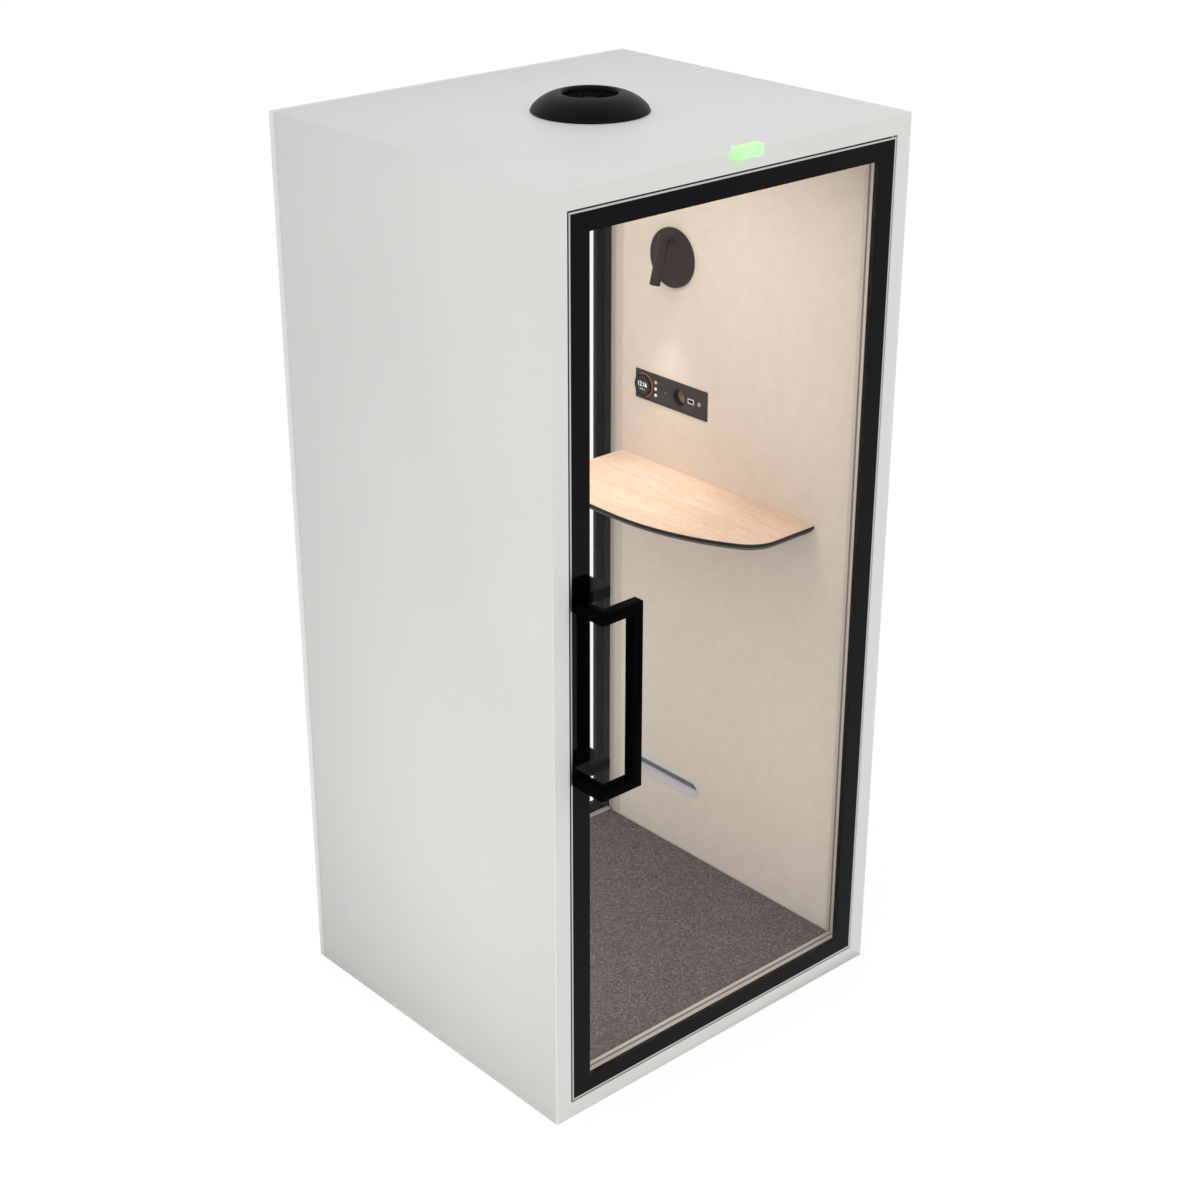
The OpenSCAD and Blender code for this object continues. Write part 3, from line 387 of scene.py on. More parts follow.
def moved(mesh, place, turn_to=Matrix.Identity(4)):
    """Turn a mesh, then set it at a place."""
    mesh.transform(Matrix.Translation(place) @ turn_to)
    return mesh


# On the right wall a reader faces +X: the sheet's own x runs to -Y and its y runs up.
ON_WALL = Matrix(((0, 0, -1, 0), (-1, 0, 0, 0), (0, 1, 0, 0), (0, 0, 0, 1)))

# %% [markdown]
# ## The lathe
# A turned or moulded round piece is its outline swept round an axis. The outline is a closed
# chain of points (radius, height). `bow` gives a shallow bulge between two of them and
# `corner` a quarter round.
# %% Lathe
lathe, size_in = plant("lathe", ["Path radius"], ["Sides"])
outline = put(lathe, "GeometryNodeMeshToCurve", {"Mesh": size_in["Geometry"]}).outputs[0]
path = put(lathe, "GeometryNodeCurvePrimitiveCircle", {
    "Resolution": size_in["Sides"], "Radius": size_in["Path radius"]}).outputs[0]
swept = put(lathe, "GeometryNodeCurveToMesh", {"Curve": path, "Profile Curve": outline}).outputs[0]
harvest(lathe, swept, size_in["Finish"])


def turned(points, place, look, sides=96):
    """Sweep a closed outline of (radius, height) in mm round an upright axis."""
    reach = max(r for r, _ in points) + 1
    chain = line_mesh([((r - reach) * MM, -z * MM, 0) for r, z in points])
    return moved(grow(lathe, {"Path radius": reach * MM, "Sides": sides}, look, chain), place)


def bow(start, end, rise, steps=14):
    """Points of a shallow bow from start to end."""
    (r0, z0), (r1, z1) = start, end
    span = math.hypot(r1 - r0, z1 - z0)
    made = []
    for i in range(steps + 1):
        t = i / steps
        k = 4 * t * (1 - t) * rise / span
        made.append((r0 + (r1 - r0) * t + k * (z1 - z0), z0 + (z1 - z0) * t - k * (r1 - r0)))
    return made


def corner(r, z, radius, start, steps=5, sweep=90):
    """Points of a rounded corner about (r, z) from this angle on, in degrees."""
    angles = [math.radians(start + sweep * i / steps) for i in range(steps + 1)]
    return [(r + radius * math.cos(a), z + radius * math.sin(a)) for a in angles]


print("trees", [group.name for group in bpy.data.node_groups])

# %% [markdown]
# ## Recipes for finishes
# Most real finishes are two tones of one colour that drift into each other, a roughness that
# drifts a little and a fine relief. `cloud` is a soft noise of a given grain, drawn out along
# an axis where the real grain is. `dress` gives a shader its tones and its relief, and `rest`
# holds what else the finish sets by the shader's own names.
# %% Cloud and dress


def cloud(tree, where, mm, low=0.0, high=1.0, detail=2.0, spread=0.2, draw=None):
    """Soft noise of this grain size that runs from low to high, squeezed along each axis."""
    if draw:
        where = put(tree, "ShaderNodeMapping", {"Vector": where, "Scale": draw}).outputs[0]
    fac = put(tree, "ShaderNodeTexNoise", {"Vector": where, "Scale": per(mm), "Detail": detail})
    return put(tree, "ShaderNodeMapRange", {"Value": fac.outputs["Fac"], 1: 0.5 - spread,
                                            2: 0.5 + spread, 3: low, 4: high}).outputs[0]


def dress(tree, shader, factor, tones, height, mm, rest, strength=1.0, under=None):
    """Two tones mixed by a factor, a relief of this depth over another one, and the rest."""
    tone = put(tree, "ShaderNodeMix", {0: factor, 6: tones[0], 7: tones[1]}, data_type="RGBA")
    bump = {"Height": height, "Distance": mm * MM, "Strength": strength}
    if under:
        bump["Normal"] = under
    feed(tree, shader, {"Base Color": tone.outputs[2],
                        "Normal": put(tree, "ShaderNodeBump", bump).outputs[0], **rest})


# %% [markdown]
# ## Painted sheet steel
# The casing is powder coated. Such a coat has a fine orange peel, a satin gloss and hardly
# any change of tone. The same recipe makes the grey-beige of the inner frame and the blacks
# of handles and lamp. With a finer peel and another gloss it also stands for moulded plastic,
# rubber and laminate.
# %% Powder coat


def powder(name, code, gloss, peel=1.4, depth=0.02, specular=0.5):
    """A powder coat of this colour and roughness."""
    made, tree, shader, where = finish(name)
    base = colour(code)
    drift = 0.02
    dark = [c * (1 - drift) for c in base[:3]] + [1.0]
    dress(tree, shader, cloud(tree, where, 260), (base, dark),
          cloud(tree, where, peel, detail=1.0), depth,
          {"Roughness": cloud(tree, where, 35, gloss * 0.93, gloss * 1.07),
           "Specular IOR Level": specular})
    return made


casing_paint = powder("warm white powder coat", "#DFDEDC", 0.42, specular=0.3)
frame_paint = powder("light grey-beige powder coat", "#D0C4B8", 0.45, specular=0.3)
black_paint = powder("satin black powder coat", "#010101", 0.4, specular=0.012)
lamp_paint = powder("soft black lacquer", "#2B2725", 0.5, peel=0.8, specular=0.15)
grey_paint = powder("dark grey powder coat", "#4A4B4D", 0.55, specular=0.3)
dome_paint = powder("moulded charcoal plastic", "#08080A", 0.45, peel=0.7, depth=0.03, specular=0.1)
vent_paint = powder("moulded light grey plastic", "#D2D0D6", 0.5, peel=0.6, depth=0.015)
punch_paint = powder("dark grey punched sheet", "#8B898B", 0.5, peel=0.6, depth=0.01, specular=0.3)
panel_paint = powder("panel charcoal", "#35312E", 0.45, peel=0.5, depth=0.008, specular=0.15)
inner_paint = powder("matt black inside", "#0C0C0D", 0.75, peel=0.6, depth=0.03, specular=0.2)
strip_paint = powder("grey rubber strip", "#7C7C7E", 0.7, peel=0.5, depth=0.02, specular=0.2)
seal_paint = powder("black rubber", "#141415", 0.65, peel=0.5, depth=0.03, specular=0.25)
board_paint = powder("dark laminate edge", "#1A1B1D", 0.5, peel=0.5, depth=0.01, specular=0.12)
grey_board = powder("grey support board", "#5E5C58", 0.6, peel=0.9, depth=0.02, specular=0.3)

# %% [markdown]
# ## Felt
# The wall lining is polyester pressed into a board: short fibres lie flat in all directions,
# lighter and darker ones mixed. Seen from a step away it is a soft even beige with a faint
# mottle, and it has no gloss at all.
# %% Pressed felt


def felt(name, light, dark):
    """Pressed fibre board between two tones."""
    made, tree, shader, where = finish(name)
    lying = cloud(tree, where, 1.6, detail=4.0, draw=(1.0, 0.25, 1.0))
    rising = cloud(tree, where, 1.6, detail=4.0, draw=(1.0, 1.0, 0.25))
    fibres = reckon(tree, ("MULTIPLY", lying, rising))
    mottle = cloud(tree, where, 40, 0.0, 0.3, detail=3.0)
    both = reckon(tree, ("MINIMUM", ("ADD", fibres, mottle), 1.0))
    dress(tree, shader, both, (colour(light), colour(dark)), fibres, 0.25,
          {"Roughness": 0.95, "Specular IOR Level": 0.1, "Sheen Weight": 0.15}, 0.7)
    return made


wall_felt = felt("beige pressed felt", "#E5DACE", "#D8CABC")
ceiling_felt = felt("pale ceiling felt", "#E6E0D6", "#CFC8BC")
core_felt = felt("bonded core wool", "#2B2A29", "#1D1C1B")

# %% [markdown]
# ## Carpet
# Needle felt for floors: tufts about 3 mm across, each a different warm grey, the palest of
# them few, and a surface that is rough enough to swallow light.
# %% Carpet
carpet_look, tree, shader, where = finish("speckled grey carpet")
tuft = put(tree, "ShaderNodeTexVoronoi", {"Vector": where, "Scale": per(2.9)})
fleck = put(tree, "ShaderNodeSeparateColor", {"Color": tuft.outputs["Color"]}).outputs[0]
tone = put(tree, "ShaderNodeValToRGB", {"Fac": fleck})
ramp = tone.color_ramp
for place, code in ((0.0, "#4D4947"), (0.4, "#625E5C"), (0.8, "#74706D"), (1.0, "#948F8A")):
    stop = ramp.elements.new(place) if 0 < place < 1 else ramp.elements[-int(place)]
    stop.color = colour(code)
fuzz = cloud(tree, where, 1.1, detail=3.0)
tufts = put(tree, "ShaderNodeBump", {"Height": tuft.outputs["Distance"], "Distance": 0.15 * MM,
                                     "Strength": 0.3}).outputs[0]
dress(tree, shader, reckon(tree, ("MULTIPLY", fuzz, 0.3)), (tone.outputs[0], colour("#4B4745")),
      fuzz, 0.15, {"Roughness": 1.0, "Specular IOR Level": 0.05}, 0.4, tufts)

# %% [markdown]
# ## Oak
# The desk's face is a thin slice of oak with its grain along the wall. Growth rings show as
# bands that wander a little, pores as short fine dashes along the grain, and a matt lacquer
# covers both. The floor deck under the carpet is birch plywood, whose layers show at its edge.
# %% Oak face and plywood
oak_look, tree, shader, where = finish("matt lacquered oak")
bent = put(tree, "ShaderNodeTexNoise", {"Vector": where, "Scale": per(260), "Detail": 1.0})
bent = put(tree, "ShaderNodeVectorMath", {0: bent.outputs["Color"], "Scale": 60 * MM},
           operation="SCALE").outputs[0]
grain = put(tree, "ShaderNodeVectorMath", {0: where, 1: bent}, operation="ADD").outputs[0]
broad = cloud(tree, grain, 38, detail=3.0, spread=0.25, draw=(1.0, 0.05, 1.0))
streak = cloud(tree, grain, 6.5, detail=4.0, spread=0.22, draw=(1.0, 0.035, 1.0))
pores = cloud(tree, grain, 1.3, spread=0.12, draw=(1.0, 0.06, 1.0))
pores = put(tree, "ShaderNodeMapRange", {"Value": pores, 1: 0.78, 2: 1.0}).outputs[0]
wood = colour("#F8E4D3")
for share, code in ((broad, "#EFD2BA"), (("MULTIPLY", streak, 0.6), "#E2B99A")):
    wood = put(tree, "ShaderNodeMix", {0: reckon(tree, share), 6: wood, 7: colour(code)},
               data_type="RGBA").outputs[2]
dress(tree, shader, reckon(tree, ("MULTIPLY", pores, 0.35)), (wood, colour("#B98C6C")),
      pores, -0.05, {"Roughness": cloud(tree, where, 40, 0.46, 0.56),
                     "Specular IOR Level": 0.25}, 0.6)

plywood, tree, shader, where = finish("birch plywood")
layers = put(tree, "ShaderNodeTexWave", {"Vector": where, "Scale": per(9)},
             wave_type="BANDS", bands_direction="Z").outputs["Fac"]
dress(tree, shader, layers, (colour("#CDAA7C"), colour("#9E7B50")),
      cloud(tree, where, 2.0, detail=4.0), 0.1, {"Roughness": 0.7}, 0.5)

# %% [markdown]
# ## Glass and its black border
# Both panes are clear and thin to the eye. Light goes straight through, and the surface adds
# a weak mirror that grows towards a grazing view. The border is enamel fired onto the back
# of the glass, so it has the glass's polish over deep black.
# %% Glass and enamel
glass_look, tree, shader, where = finish("clear coated glass")
tree.nodes.remove(shader)
edge_on = put(tree, "ShaderNodeLayerWeight", {"Blend": 0.5}).outputs["Facing"]
gloss = ("ADD", ("MULTIPLY", ("POWER", edge_on, 5.0), 0.96), 0.04)
weak = reckon(tree, ("MULTIPLY", gloss, cloud(tree, where, 180, 0.2, 0.24)))
through = put(tree, "ShaderNodeBsdfTransparent", {"Color": colour("#FCFDFD")}).outputs[0]
mirror = put(tree, "ShaderNodeBsdfGlossy", {"Color": (1, 1, 1, 1), "Roughness": 0.0}).outputs[0]
both = put(tree, "ShaderNodeMixShader", {0: weak, 1: through, 2: mirror}).outputs[0]
out = next(n for n in tree.nodes if n.type == "OUTPUT_MATERIAL")
tree.links.new(both, out.inputs["Surface"])

enamel_look, tree, shader, where = finish("black enamel behind glass")
dress(tree, shader, cloud(tree, where, 150), (colour("#040405"), colour("#060607")),
      cloud(tree, where, 90, detail=0.0), 0.01,
      {"Roughness": cloud(tree, where, 60, 0.02, 0.05), "Specular IOR Level": 0.07}, 0.3)

# %% [markdown]
# ## Bare metals
# The thin profile round the leaf is anodised aluminium, drawn, so its finest lines run along
# it. Bolts and pins are plain steel, the pivot bearings brass.
# %% Metals


def metal(name, code, rough, draw=None):
    """Bare metal with fine draw lines."""
    made, tree, shader, where = finish(name)
    bright = colour(code)
    dull = [c * 0.86 for c in bright[:3]] + [1.0]
    lines = cloud(tree, where, 0.5, detail=3.0, draw=draw)
    worn = put(tree, "ShaderNodeMapRange", {"Value": lines, 3: rough, 4: rough * 1.3}).outputs[0]
    dress(tree, shader, lines, (bright, dull), lines, 0.01,
          {"Metallic": 1.0, "Roughness": worn}, 0.5)
    return made


profile_metal = metal("anodised aluminium", "#C9CACC", 0.32, (1.0, 1.0, 0.02))
steel = metal("plain steel", "#9C9B9A", 0.34)
brass = metal("bearing brass", "#B39455", 0.36)

# %% [markdown]
# ## Things that shine
# The lamp's lens is frosted and lit from behind, the status light is a milky block over green
# diodes, and the dial's picture is drawn in thin lit shapes. The panel's other colours are
# plain mouldings and one dark glass.
# %% Lit finishes


def lit(name, code, strength, mm=6):
    """A lit plastic whose glow drifts a little."""
    made, tree, shader, where = finish(name)
    feed(tree, shader, {
        "Base Color": colour(code), "Roughness": 0.4, "Emission Color": colour(code),
        "Emission Strength": cloud(tree, where, mm, strength * 0.85, strength)})
    return made


lens_look = lit("frosted warm lens", "#FFE9C8", 3.0)
status_look = lit("green status bar", "#A2FF9A", 0.75, mm=14)
digit_look = lit("white dial marks", "#F4F4F2", 0.8, mm=3)
arc_look = lit("orange dial arc", "#D4694C", 0.6, mm=4)
amber_look = lit("peach button light", "#D9A98A", 0.22, mm=3)
pearl_look = lit("white button light", "#D8D8DA", 0.3, mm=3)
lime_look = lit("green dial mark", "#B9C86A", 0.5, mm=3)
ivory_paint = powder("ivory socket floor", "#A8926F", 0.5, peel=0.5, depth=0.01, specular=0.3)
port_paint = powder("light port frames", "#C9C6C2", 0.4, peel=0.4, depth=0.006, specular=0.4)
window_paint = powder("dark orange window", "#A2452F", 0.35, peel=0.5, depth=0.005)
screen_look = powder("black display glass", "#0A0B0D", 0.12, peel=30, depth=0.001, specular=0.4)

# %% [markdown]
# ## The casing
# Side walls and roof are one sheet-metal skin, 1.5 mm thick, welded and ground so that no
# joint shows, with the door rim folded in from all four sides and turned back behind the
# door. It is drawn here as a surface, its long edges are rolled, and the sheet then gets its
# thickness inwards.
# %% Folded skin
# Both in mm. The edges of the opening are rolled tighter than the outer ones.
EDGE_ROLL, SHEET = 3.0, 1.5
ROLL_SHARE = {"outer": 1.0, "opening": 0.4}


def folded(y_rim, y_end, turn_in):
    """The casing's sheet from one end, which is open, to a rim with a turned-in lip."""
    work = bmesh.new()
    weight = work.edges.layers.float.new("bevel_weight_edge")

    def ring(x, low_z, high_z, y):
        return [work.verts.new((side * x, y, z)) for side, z in
                ((-1, low_z), (1, low_z), (1, high_z), (-1, high_z))]

    rings = [ring(half, low, roof, y_end), ring(half, low, roof, y_rim),
             ring(opening, sill_top, head, y_rim), ring(opening, sill_top, head, y_rim + turn_in)]
    for first, second in zip(rings, rings[1:]):
        for i in range(4):
            # The foot stays open, because the pod stands on its deck there.
            if first is not rings[0] or i > 0:
                j = (i + 1) % 4
                work.faces.new((first[i], first[j], second[j], second[i]))
    for i in range(4):
        for k, share in ((1, ROLL_SHARE["outer"]), (2, ROLL_SHARE["opening"])):
            work.edges.get((rings[k][i], rings[k][(i + 1) % 4]))[weight] = share
        work.edges.get((rings[0][i], rings[1][i]))[weight] = ROLL_SHARE["outer"] if i > 1 else 0.0
    bmesh.ops.recalc_face_normals(work, faces=work.faces)
    rim = min(work.faces, key=lambda f: abs(f.calc_center_median().y - y_rim))
    if rim.normal.y * (y_rim - y_end) < 0:
        bmesh.ops.reverse_faces(work, faces=work.faces)
    for face in work.faces:
        face.smooth = True
    source = placed("draft", mesh_of(work, "folded"))
    bevel(source, EDGE_ROLL, 4, limit="WEIGHT")
    thick = source.modifiers.new("sheet", "SOLIDIFY")
    thick.thickness, thick.offset, thick.use_even_offset = SHEET * MM, -1.0, True
    return source


def bite(source, shape):
    """Cut a shape out of a working object."""
    cutter = placed("draft", shape)
    cut = source.modifiers.new("bite", "BOOLEAN")
    cut.operation, cut.solver, cut.object = "DIFFERENCE", "EXACT", cutter
    made = baked(source)
    bpy.data.objects.remove(cutter)
    return made


def block(low_corner, high_corner):
    """A box mesh between two corners, for cutting and as a start."""
    work = bmesh.new()
    bmesh.ops.create_cube(work, size=1)
    for v in work.verts:
        v.co = [a + (c + 0.5) * (b - a) for a, b, c in zip(low_corner, high_corner, v.co)]
    return mesh_of(work, "block")


def upright_tube(x, y, radius, start, end):
    """A closed upright cylinder mesh, for cutting."""
    work = bmesh.new()
    bmesh.ops.create_cone(work, cap_ends=True, segments=96, radius1=radius, radius2=radius,
                          depth=end - start, matrix=Matrix.Translation((x, y, (start + end) / 2)))
    return mesh_of(work, "tube")


dome_low, dome_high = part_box("outlet_dome")
grille_low, grille_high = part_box("outlet_grille")
mouth = (grille_high.x - grille_low.x) / 2
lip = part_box("front_post_left")[0].y - front
rear_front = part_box("rear_frame")[0].y
joint, margin = 1.2 * MM, 20 * MM
skin_mesh = bite(folded(front, rear_front - joint, lip),
                 upright_tube(0, mid, mouth + 0.5 * MM, roof - margin, roof + margin))
stand("casing_skin", skin_mesh, "pod", [casing_paint],
      ["left_shell", "right_shell", "roof_shell", "kick_plate"])

# %% [markdown]
# The rear frame is a shallow copy of the same folding. An open joint about a millimetre wide
# parts it from the skin, and its foot is cut out for the mains inlet.
# %% Rear frame
inlet_low, inlet_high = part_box("mains_inlet")
through = Vector((0, margin, 0))
trim_mesh = bite(folded(back, rear_front, rear_front - back),
                 block(inlet_low - through, inlet_high + through))
stand("rear_trim", trim_mesh, "pod", [casing_paint], ["rear_frame"])

# %% [markdown]
# ## Door and rear wall
# Each pane is one sheet of glass with ground edges. Its border is shown as a black ring as
# deep as the glass, because enamel on the back looks as if the glass itself were black. The
# clear middle is a slab set into that ring.
# %% Borders and panes


def bordered(tag, glass, band, body, y0, y1):
    """A black ring round a clear slab, from the boxes of a glass and its band."""
    (ax, _, az), (bx, _, bz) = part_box(glass)
    across = sorted({round(abs(v.co.x), 5) for v in parts[band].data.vertices})
    levels = sorted({round(v.co.z, 5) for v in parts[band].data.vertices})
    cx, cz0, cz1 = across[0], levels[1], levels[-2]
    hole = block((-cx, y0 - margin, cz0), (cx, y1 + margin, cz1))
    ring = placed("draft", bite(placed("draft", block((ax, y0, az), (bx, y1, bz))), hole))
    bevel(ring, 0.6, 2, 60)
    stand(tag + "_border", baked(ring), body, [enamel_look], [band])
    gap, step = 0.05 * MM, 0.1 * MM
    slab = placed("draft", block((gap - cx, y0 + step, cz0 + gap),
                                 (cx - gap, y1 - step, cz1 - gap)))
    bevel(slab, 0.2, 1, 60)
    stand(tag + "_pane", baked(slab), body, [glass_look], [glass])
    print(tag, "clear opening", round(2 * cx, 4), round(cz1 - cz0, 4))


bordered("door", "door_glass", "door_band", "door",
         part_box("door_glass")[0].y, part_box("door_profile")[1].y)
bordered("rear", "rear_glass", "rear_band", "pod",
         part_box("rear_band")[0].y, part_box("rear_glass")[1].y)
coat(profile_metal, "door_profile")
coat(seal_paint, "seals")

# %% [markdown]
# ## Handles
# Each grip is welded from 25 mm square tube: an arm leaves the glass, turns along the door
# and carries a long upright. The corners are ground to about a millimetre.
# %% Handles
rounded("handle_out", 1.2, black_paint, 3)
rounded("handle_in", 1.2, black_paint, 3)
coat(steel, "handle_bolts", "door_pins")
coat(brass, "pivot_bearings")

# %% [markdown]
# ## Inner frame
# Folded posts, a header and a sill stand behind the opening. They carry the black seal and a
# thin grey strip let into a groove. Low skirtings of the same sheet run along the walls.
# %% Inner frame
for name in ("front_post_left", "front_post_right", "front_header", "rear_post_left",
             "rear_post_right", "rear_header", "sill", "rear_sill", "skirtings"):
    rounded(name, 0.8, frame_paint, 2)
coat(strip_paint, "frame_strips")
coat(plywood, "floor_deck")
coat(inner_paint, "feet", "panel_box", "mains_inlet")

# %% [markdown]
# ## Linings
# Felt on both walls, lighter felt under the roof, carpet on the deck. Their edges are soft.
# %% Linings
rounded("left_felt", 1.2, wall_felt, 2, flat=True)
rounded("right_felt", 1.2, wall_felt, 2, flat=True)
rounded("ceiling_panel", 0.8, ceiling_felt, 2, flat=True)
rounded("carpet", 1.5, carpet_look, 2, flat=True)
coat(core_felt, "left_core", "right_core", "roof_core")

# %% [markdown]
# ## Desk
# The shelf is a thin board faced with oak, with a dark edge all round. A grey board carries
# it from below and two folded brackets tie it to the wall.
# %% Desk
rounded("desk_top", 0.4, oak_look, 2)
rounded("desk_core", 0.6, board_paint, 2)
rounded("desk_plate", 0.8, grey_board, 2)
rounded("desk_brackets", 0.8, grey_paint, 2)

# %% [markdown]
# ## Wall lamp
# A flat round plate, a short arm and a slim spot. The spot's tube is turned from aluminium
# and lacquered nearly black, so its rims catch a thin warm line.
# %% Lamp
rounded("lamp_plate", 1.0, lamp_paint, 3)
rounded("lamp_arm", 0.5, lamp_paint, 2)
rounded("lamp_head", 0.8, lamp_paint, 3)
coat(lens_look, "lamp_lens")

# %% [markdown]
# The beam leaves along the tube's axis. It warms the felt under the lamp and lights the desk,
# and it follows the head when that is turned.
# %% Beam
lens_low, lens_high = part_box("lamp_lens")
head_low, head_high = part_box("lamp_head")
lens_at = (lens_low + lens_high) / 2
along = lens_at - (head_low + head_high) / 2
beam = lamp("lamp beam", lens_at + along.normalized() * 0.012, lens_at + along, (1.42, 1.0), 4.2,
            (1.0, 0.89, 0.8), "SPOT", hidden=True)
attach(beam, home["lamp_head"])
print("beam leans", round(math.degrees(math.atan2(-along.x, -along.z)), 1), "degrees")

# %% [markdown]
# ## Service panel
# Dial, three buttons, socket, charging port and a small round port share one dark plate. The
# ports are one moulding with several finishes, so each face gets its finish by where it lies:
# light frames in front, dark insides, an orange window between dial and socket.
# %% Panel


def sorted_faces(node, mm, looks, choose):
    """Stand a part's rounded copy in its place, each face finished by where it lies."""
    made = rounded(node, mm, looks[0], 2)
    for look in looks[1:]:
        made.data.materials.append(look)
    for face in made.data.polygons:
        face.material_index = choose(face)


plate_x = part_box("panel_plate")[0].x
socket_y = sum(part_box("socket"), Vector()).y / 2
rounded("panel_plate", 0.5, panel_paint, 2)
rounded("dial_ring", 0.8, inner_paint, 3)
coat(screen_look, "display")
coat(amber_look, "button_a")
coat(pearl_look, "button_b", "button_c")
# The socket's floor lies deep inside, so it is told from the rim by its place along X.
deep, shallow = plate_x + 5 * MM, plate_x + 0.3 * MM
sorted_faces("socket", 0.5, [inner_paint, ivory_paint],
             lambda f: int(f.normal.x < -0.9 and deep < f.center.x))
# The window is the only port face on the dial's side of the socket.
sorted_faces("ports", 0.3, [port_paint, inner_paint, window_paint],
             lambda f: 2 if f.center.y > socket_y else int(f.center.x >= shallow))

# %% [markdown]
# The dial's picture is lit from behind: plain digits, three small marks under them and an
# arc that hugs the ring. The digits are one text, made a mesh and fitted to its size. The
# arc is a swept line of Geometry Nodes, half sunk in the plate.
# %% Dial picture
lit_arc, size_in = plant("lit arc", ["Radius", "Start", "Sweep", "Wire"], ["Steps"])
path = put(lit_arc, "GeometryNodeCurveArc", {
    "Resolution": size_in["Steps"], "Radius": size_in["Radius"], "Start Angle": size_in["Start"],
    "Sweep Angle": size_in["Sweep"]}).outputs[0]
wire = put(lit_arc, "GeometryNodeCurvePrimitiveCircle", {
    "Resolution": 8, "Radius": size_in["Wire"]}).outputs[0]
harvest(lit_arc, put(lit_arc, "GeometryNodeCurveToMesh", {
    "Curve": path, "Profile Curve": wire, "Fill Caps": True}).outputs[0], size_in["Finish"])

dial_low, dial_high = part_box("dial_ring")
dial_mid = (dial_low + dial_high) / 2
arc_sizes = {"Radius": (dial_high.z - dial_low.z) / 2 + 0.9 * MM, "Steps": 96,
             "Start": math.radians(-72), "Sweep": math.radians(192), "Wire": 0.65 * MM}
arc = moved(grow(lit_arc, arc_sizes, arc_look), (plate_x, dial_mid.y, dial_mid.z), ON_WALL)
stand("dial_arc", arc, "pod", [arc_look])


def words(text, *size):
    """A text as a mesh of this width, height and thickness in mm, its middle at the origin."""
    letters = bpy.data.curves.new("digits", "FONT")
    letters.body, letters.extrude, letters.resolution_u = text, 0.02, 4
    mesh = baked(placed("digits", letters))
    ends = [(min(v.co[i] for v in mesh.vertices), max(v.co[i] for v in mesh.vertices))
            for i in range(3)]
    for v in mesh.vertices:
        v.co = [((c - (a + b) / 2) / (b - a)) * mm * MM for c, (a, b), mm in zip(v.co, ends, size)]
    return sealed(mesh)


face_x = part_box("display")[0].x
digits = moved(words("12:16", 30, 12, 0.16), (face_x, dial_mid.y, dial_mid.z + 3 * MM), ON_WALL)
stand("dial_digits", digits, "pod", [digit_look])
dot_outline = [(0.01, 0), (1.4, 0)] + corner(1.2, 0, 0.2, 0) + [(0.01, 0.2)]
for i, look in enumerate((digit_look, digit_look, lime_look)):
    dot = turned(dot_outline, (0, 0, 0), look, 20)
    moved(dot, (face_x + 0.1 * MM, dial_mid.y + (1 - i) * 8 * MM, dial_mid.z - 10 * MM), ON_WALL)
    stand("dial_mark_%d" % i, dot, "pod", [look])

# %% [markdown]
# ## Roof outlet
# The outlet is one moulded dome: a small foot round, a shallow bow up to the crest and a
# rounded lip down into the mouth. That is an outline and an axis, so it goes on the lathe.
# %% Dome
dome_r, dome_h = (dome_high.x - dome_low.x) / 2 / MM, (dome_high.z - dome_low.z) / MM
mouth_r = mouth / MM
foot_round, crest_round, bulge = 4, 7, 6.8
crest = mouth_r + crest_round
outline = (corner(dome_r - foot_round, foot_round, foot_round, -90, sweep=60)
           + bow((dome_r - 0.5, 6), (crest, dome_h), bulge)[1:]
           + corner(crest, dome_h - crest_round, crest_round, 90, steps=8)[1:]
           + [(mouth_r + 0.1, 0)])
dome_mesh = turned(outline, (0, mid, dome_low.z), dome_paint, 128)
stand("outlet_dome_moulded", dome_mesh, "pod", [dome_paint], ["outlet_dome"])
print("dome", round(2 * dome_r, 1), "mm across", round(dome_h, 1), "mm high")

# %% [markdown]
# ## Blades round a hub
# The vanes in the mouth and the fan's blades are the same thing with other sizes: one thin
# plate, pitched, bent a little and repeated round the axis. A grid gives the plate, its bend
# is a shift that grows with the square of the reach, and instances on equal turns repeat it.
# %% Blade tree
bladed, size_in = plant(
    "blades round a hub", ["Inner", "Outer", "Chord", "Thickness", "Pitch", "Sweep"], ["Count"])
reach = reckon(bladed, ("SUBTRACT", size_in["Outer"], size_in["Inner"]))
size = put(bladed, "ShaderNodeCombineXYZ", {
    0: reach, 1: size_in["Chord"], 2: size_in["Thickness"]}).outputs[0]
plate = put(bladed, "GeometryNodeMeshCube", {
    "Size": size, "Vertices X": 9, "Vertices Y": 5, "Vertices Z": 2}).outputs[0]
spot = put(bladed, "GeometryNodeInputPosition").outputs[0]
spot = put(bladed, "ShaderNodeSeparateXYZ", {0: spot}).outputs
run_out = ("ADD", ("DIVIDE", spot[0], reach), 0.5)
bend = reckon(bladed, ("MULTIPLY", ("POWER", run_out, 2.0), size_in["Sweep"]))
hollow = reckon(bladed, ("MULTIPLY", ("POWER", ("DIVIDE", spot[1], size_in["Chord"]), 2.0),
                         ("MULTIPLY", size_in["Chord"], 0.3)))
shift = put(bladed, "ShaderNodeCombineXYZ", {0: 0.0, 1: bend, 2: hollow}).outputs[0]
plate = put(bladed, "GeometryNodeSetPosition", {"Geometry": plate, "Offset": shift}).outputs[0]
centre = reckon(bladed, ("MULTIPLY", ("ADD", size_in["Outer"], size_in["Inner"]), 0.5))
plate = put(bladed, "GeometryNodeTransform", {
    "Geometry": plate,
    "Translation": put(bladed, "ShaderNodeCombineXYZ", {0: centre}).outputs[0],
    "Rotation": put(bladed, "ShaderNodeCombineXYZ", {0: size_in["Pitch"]}).outputs[0]}).outputs[0]
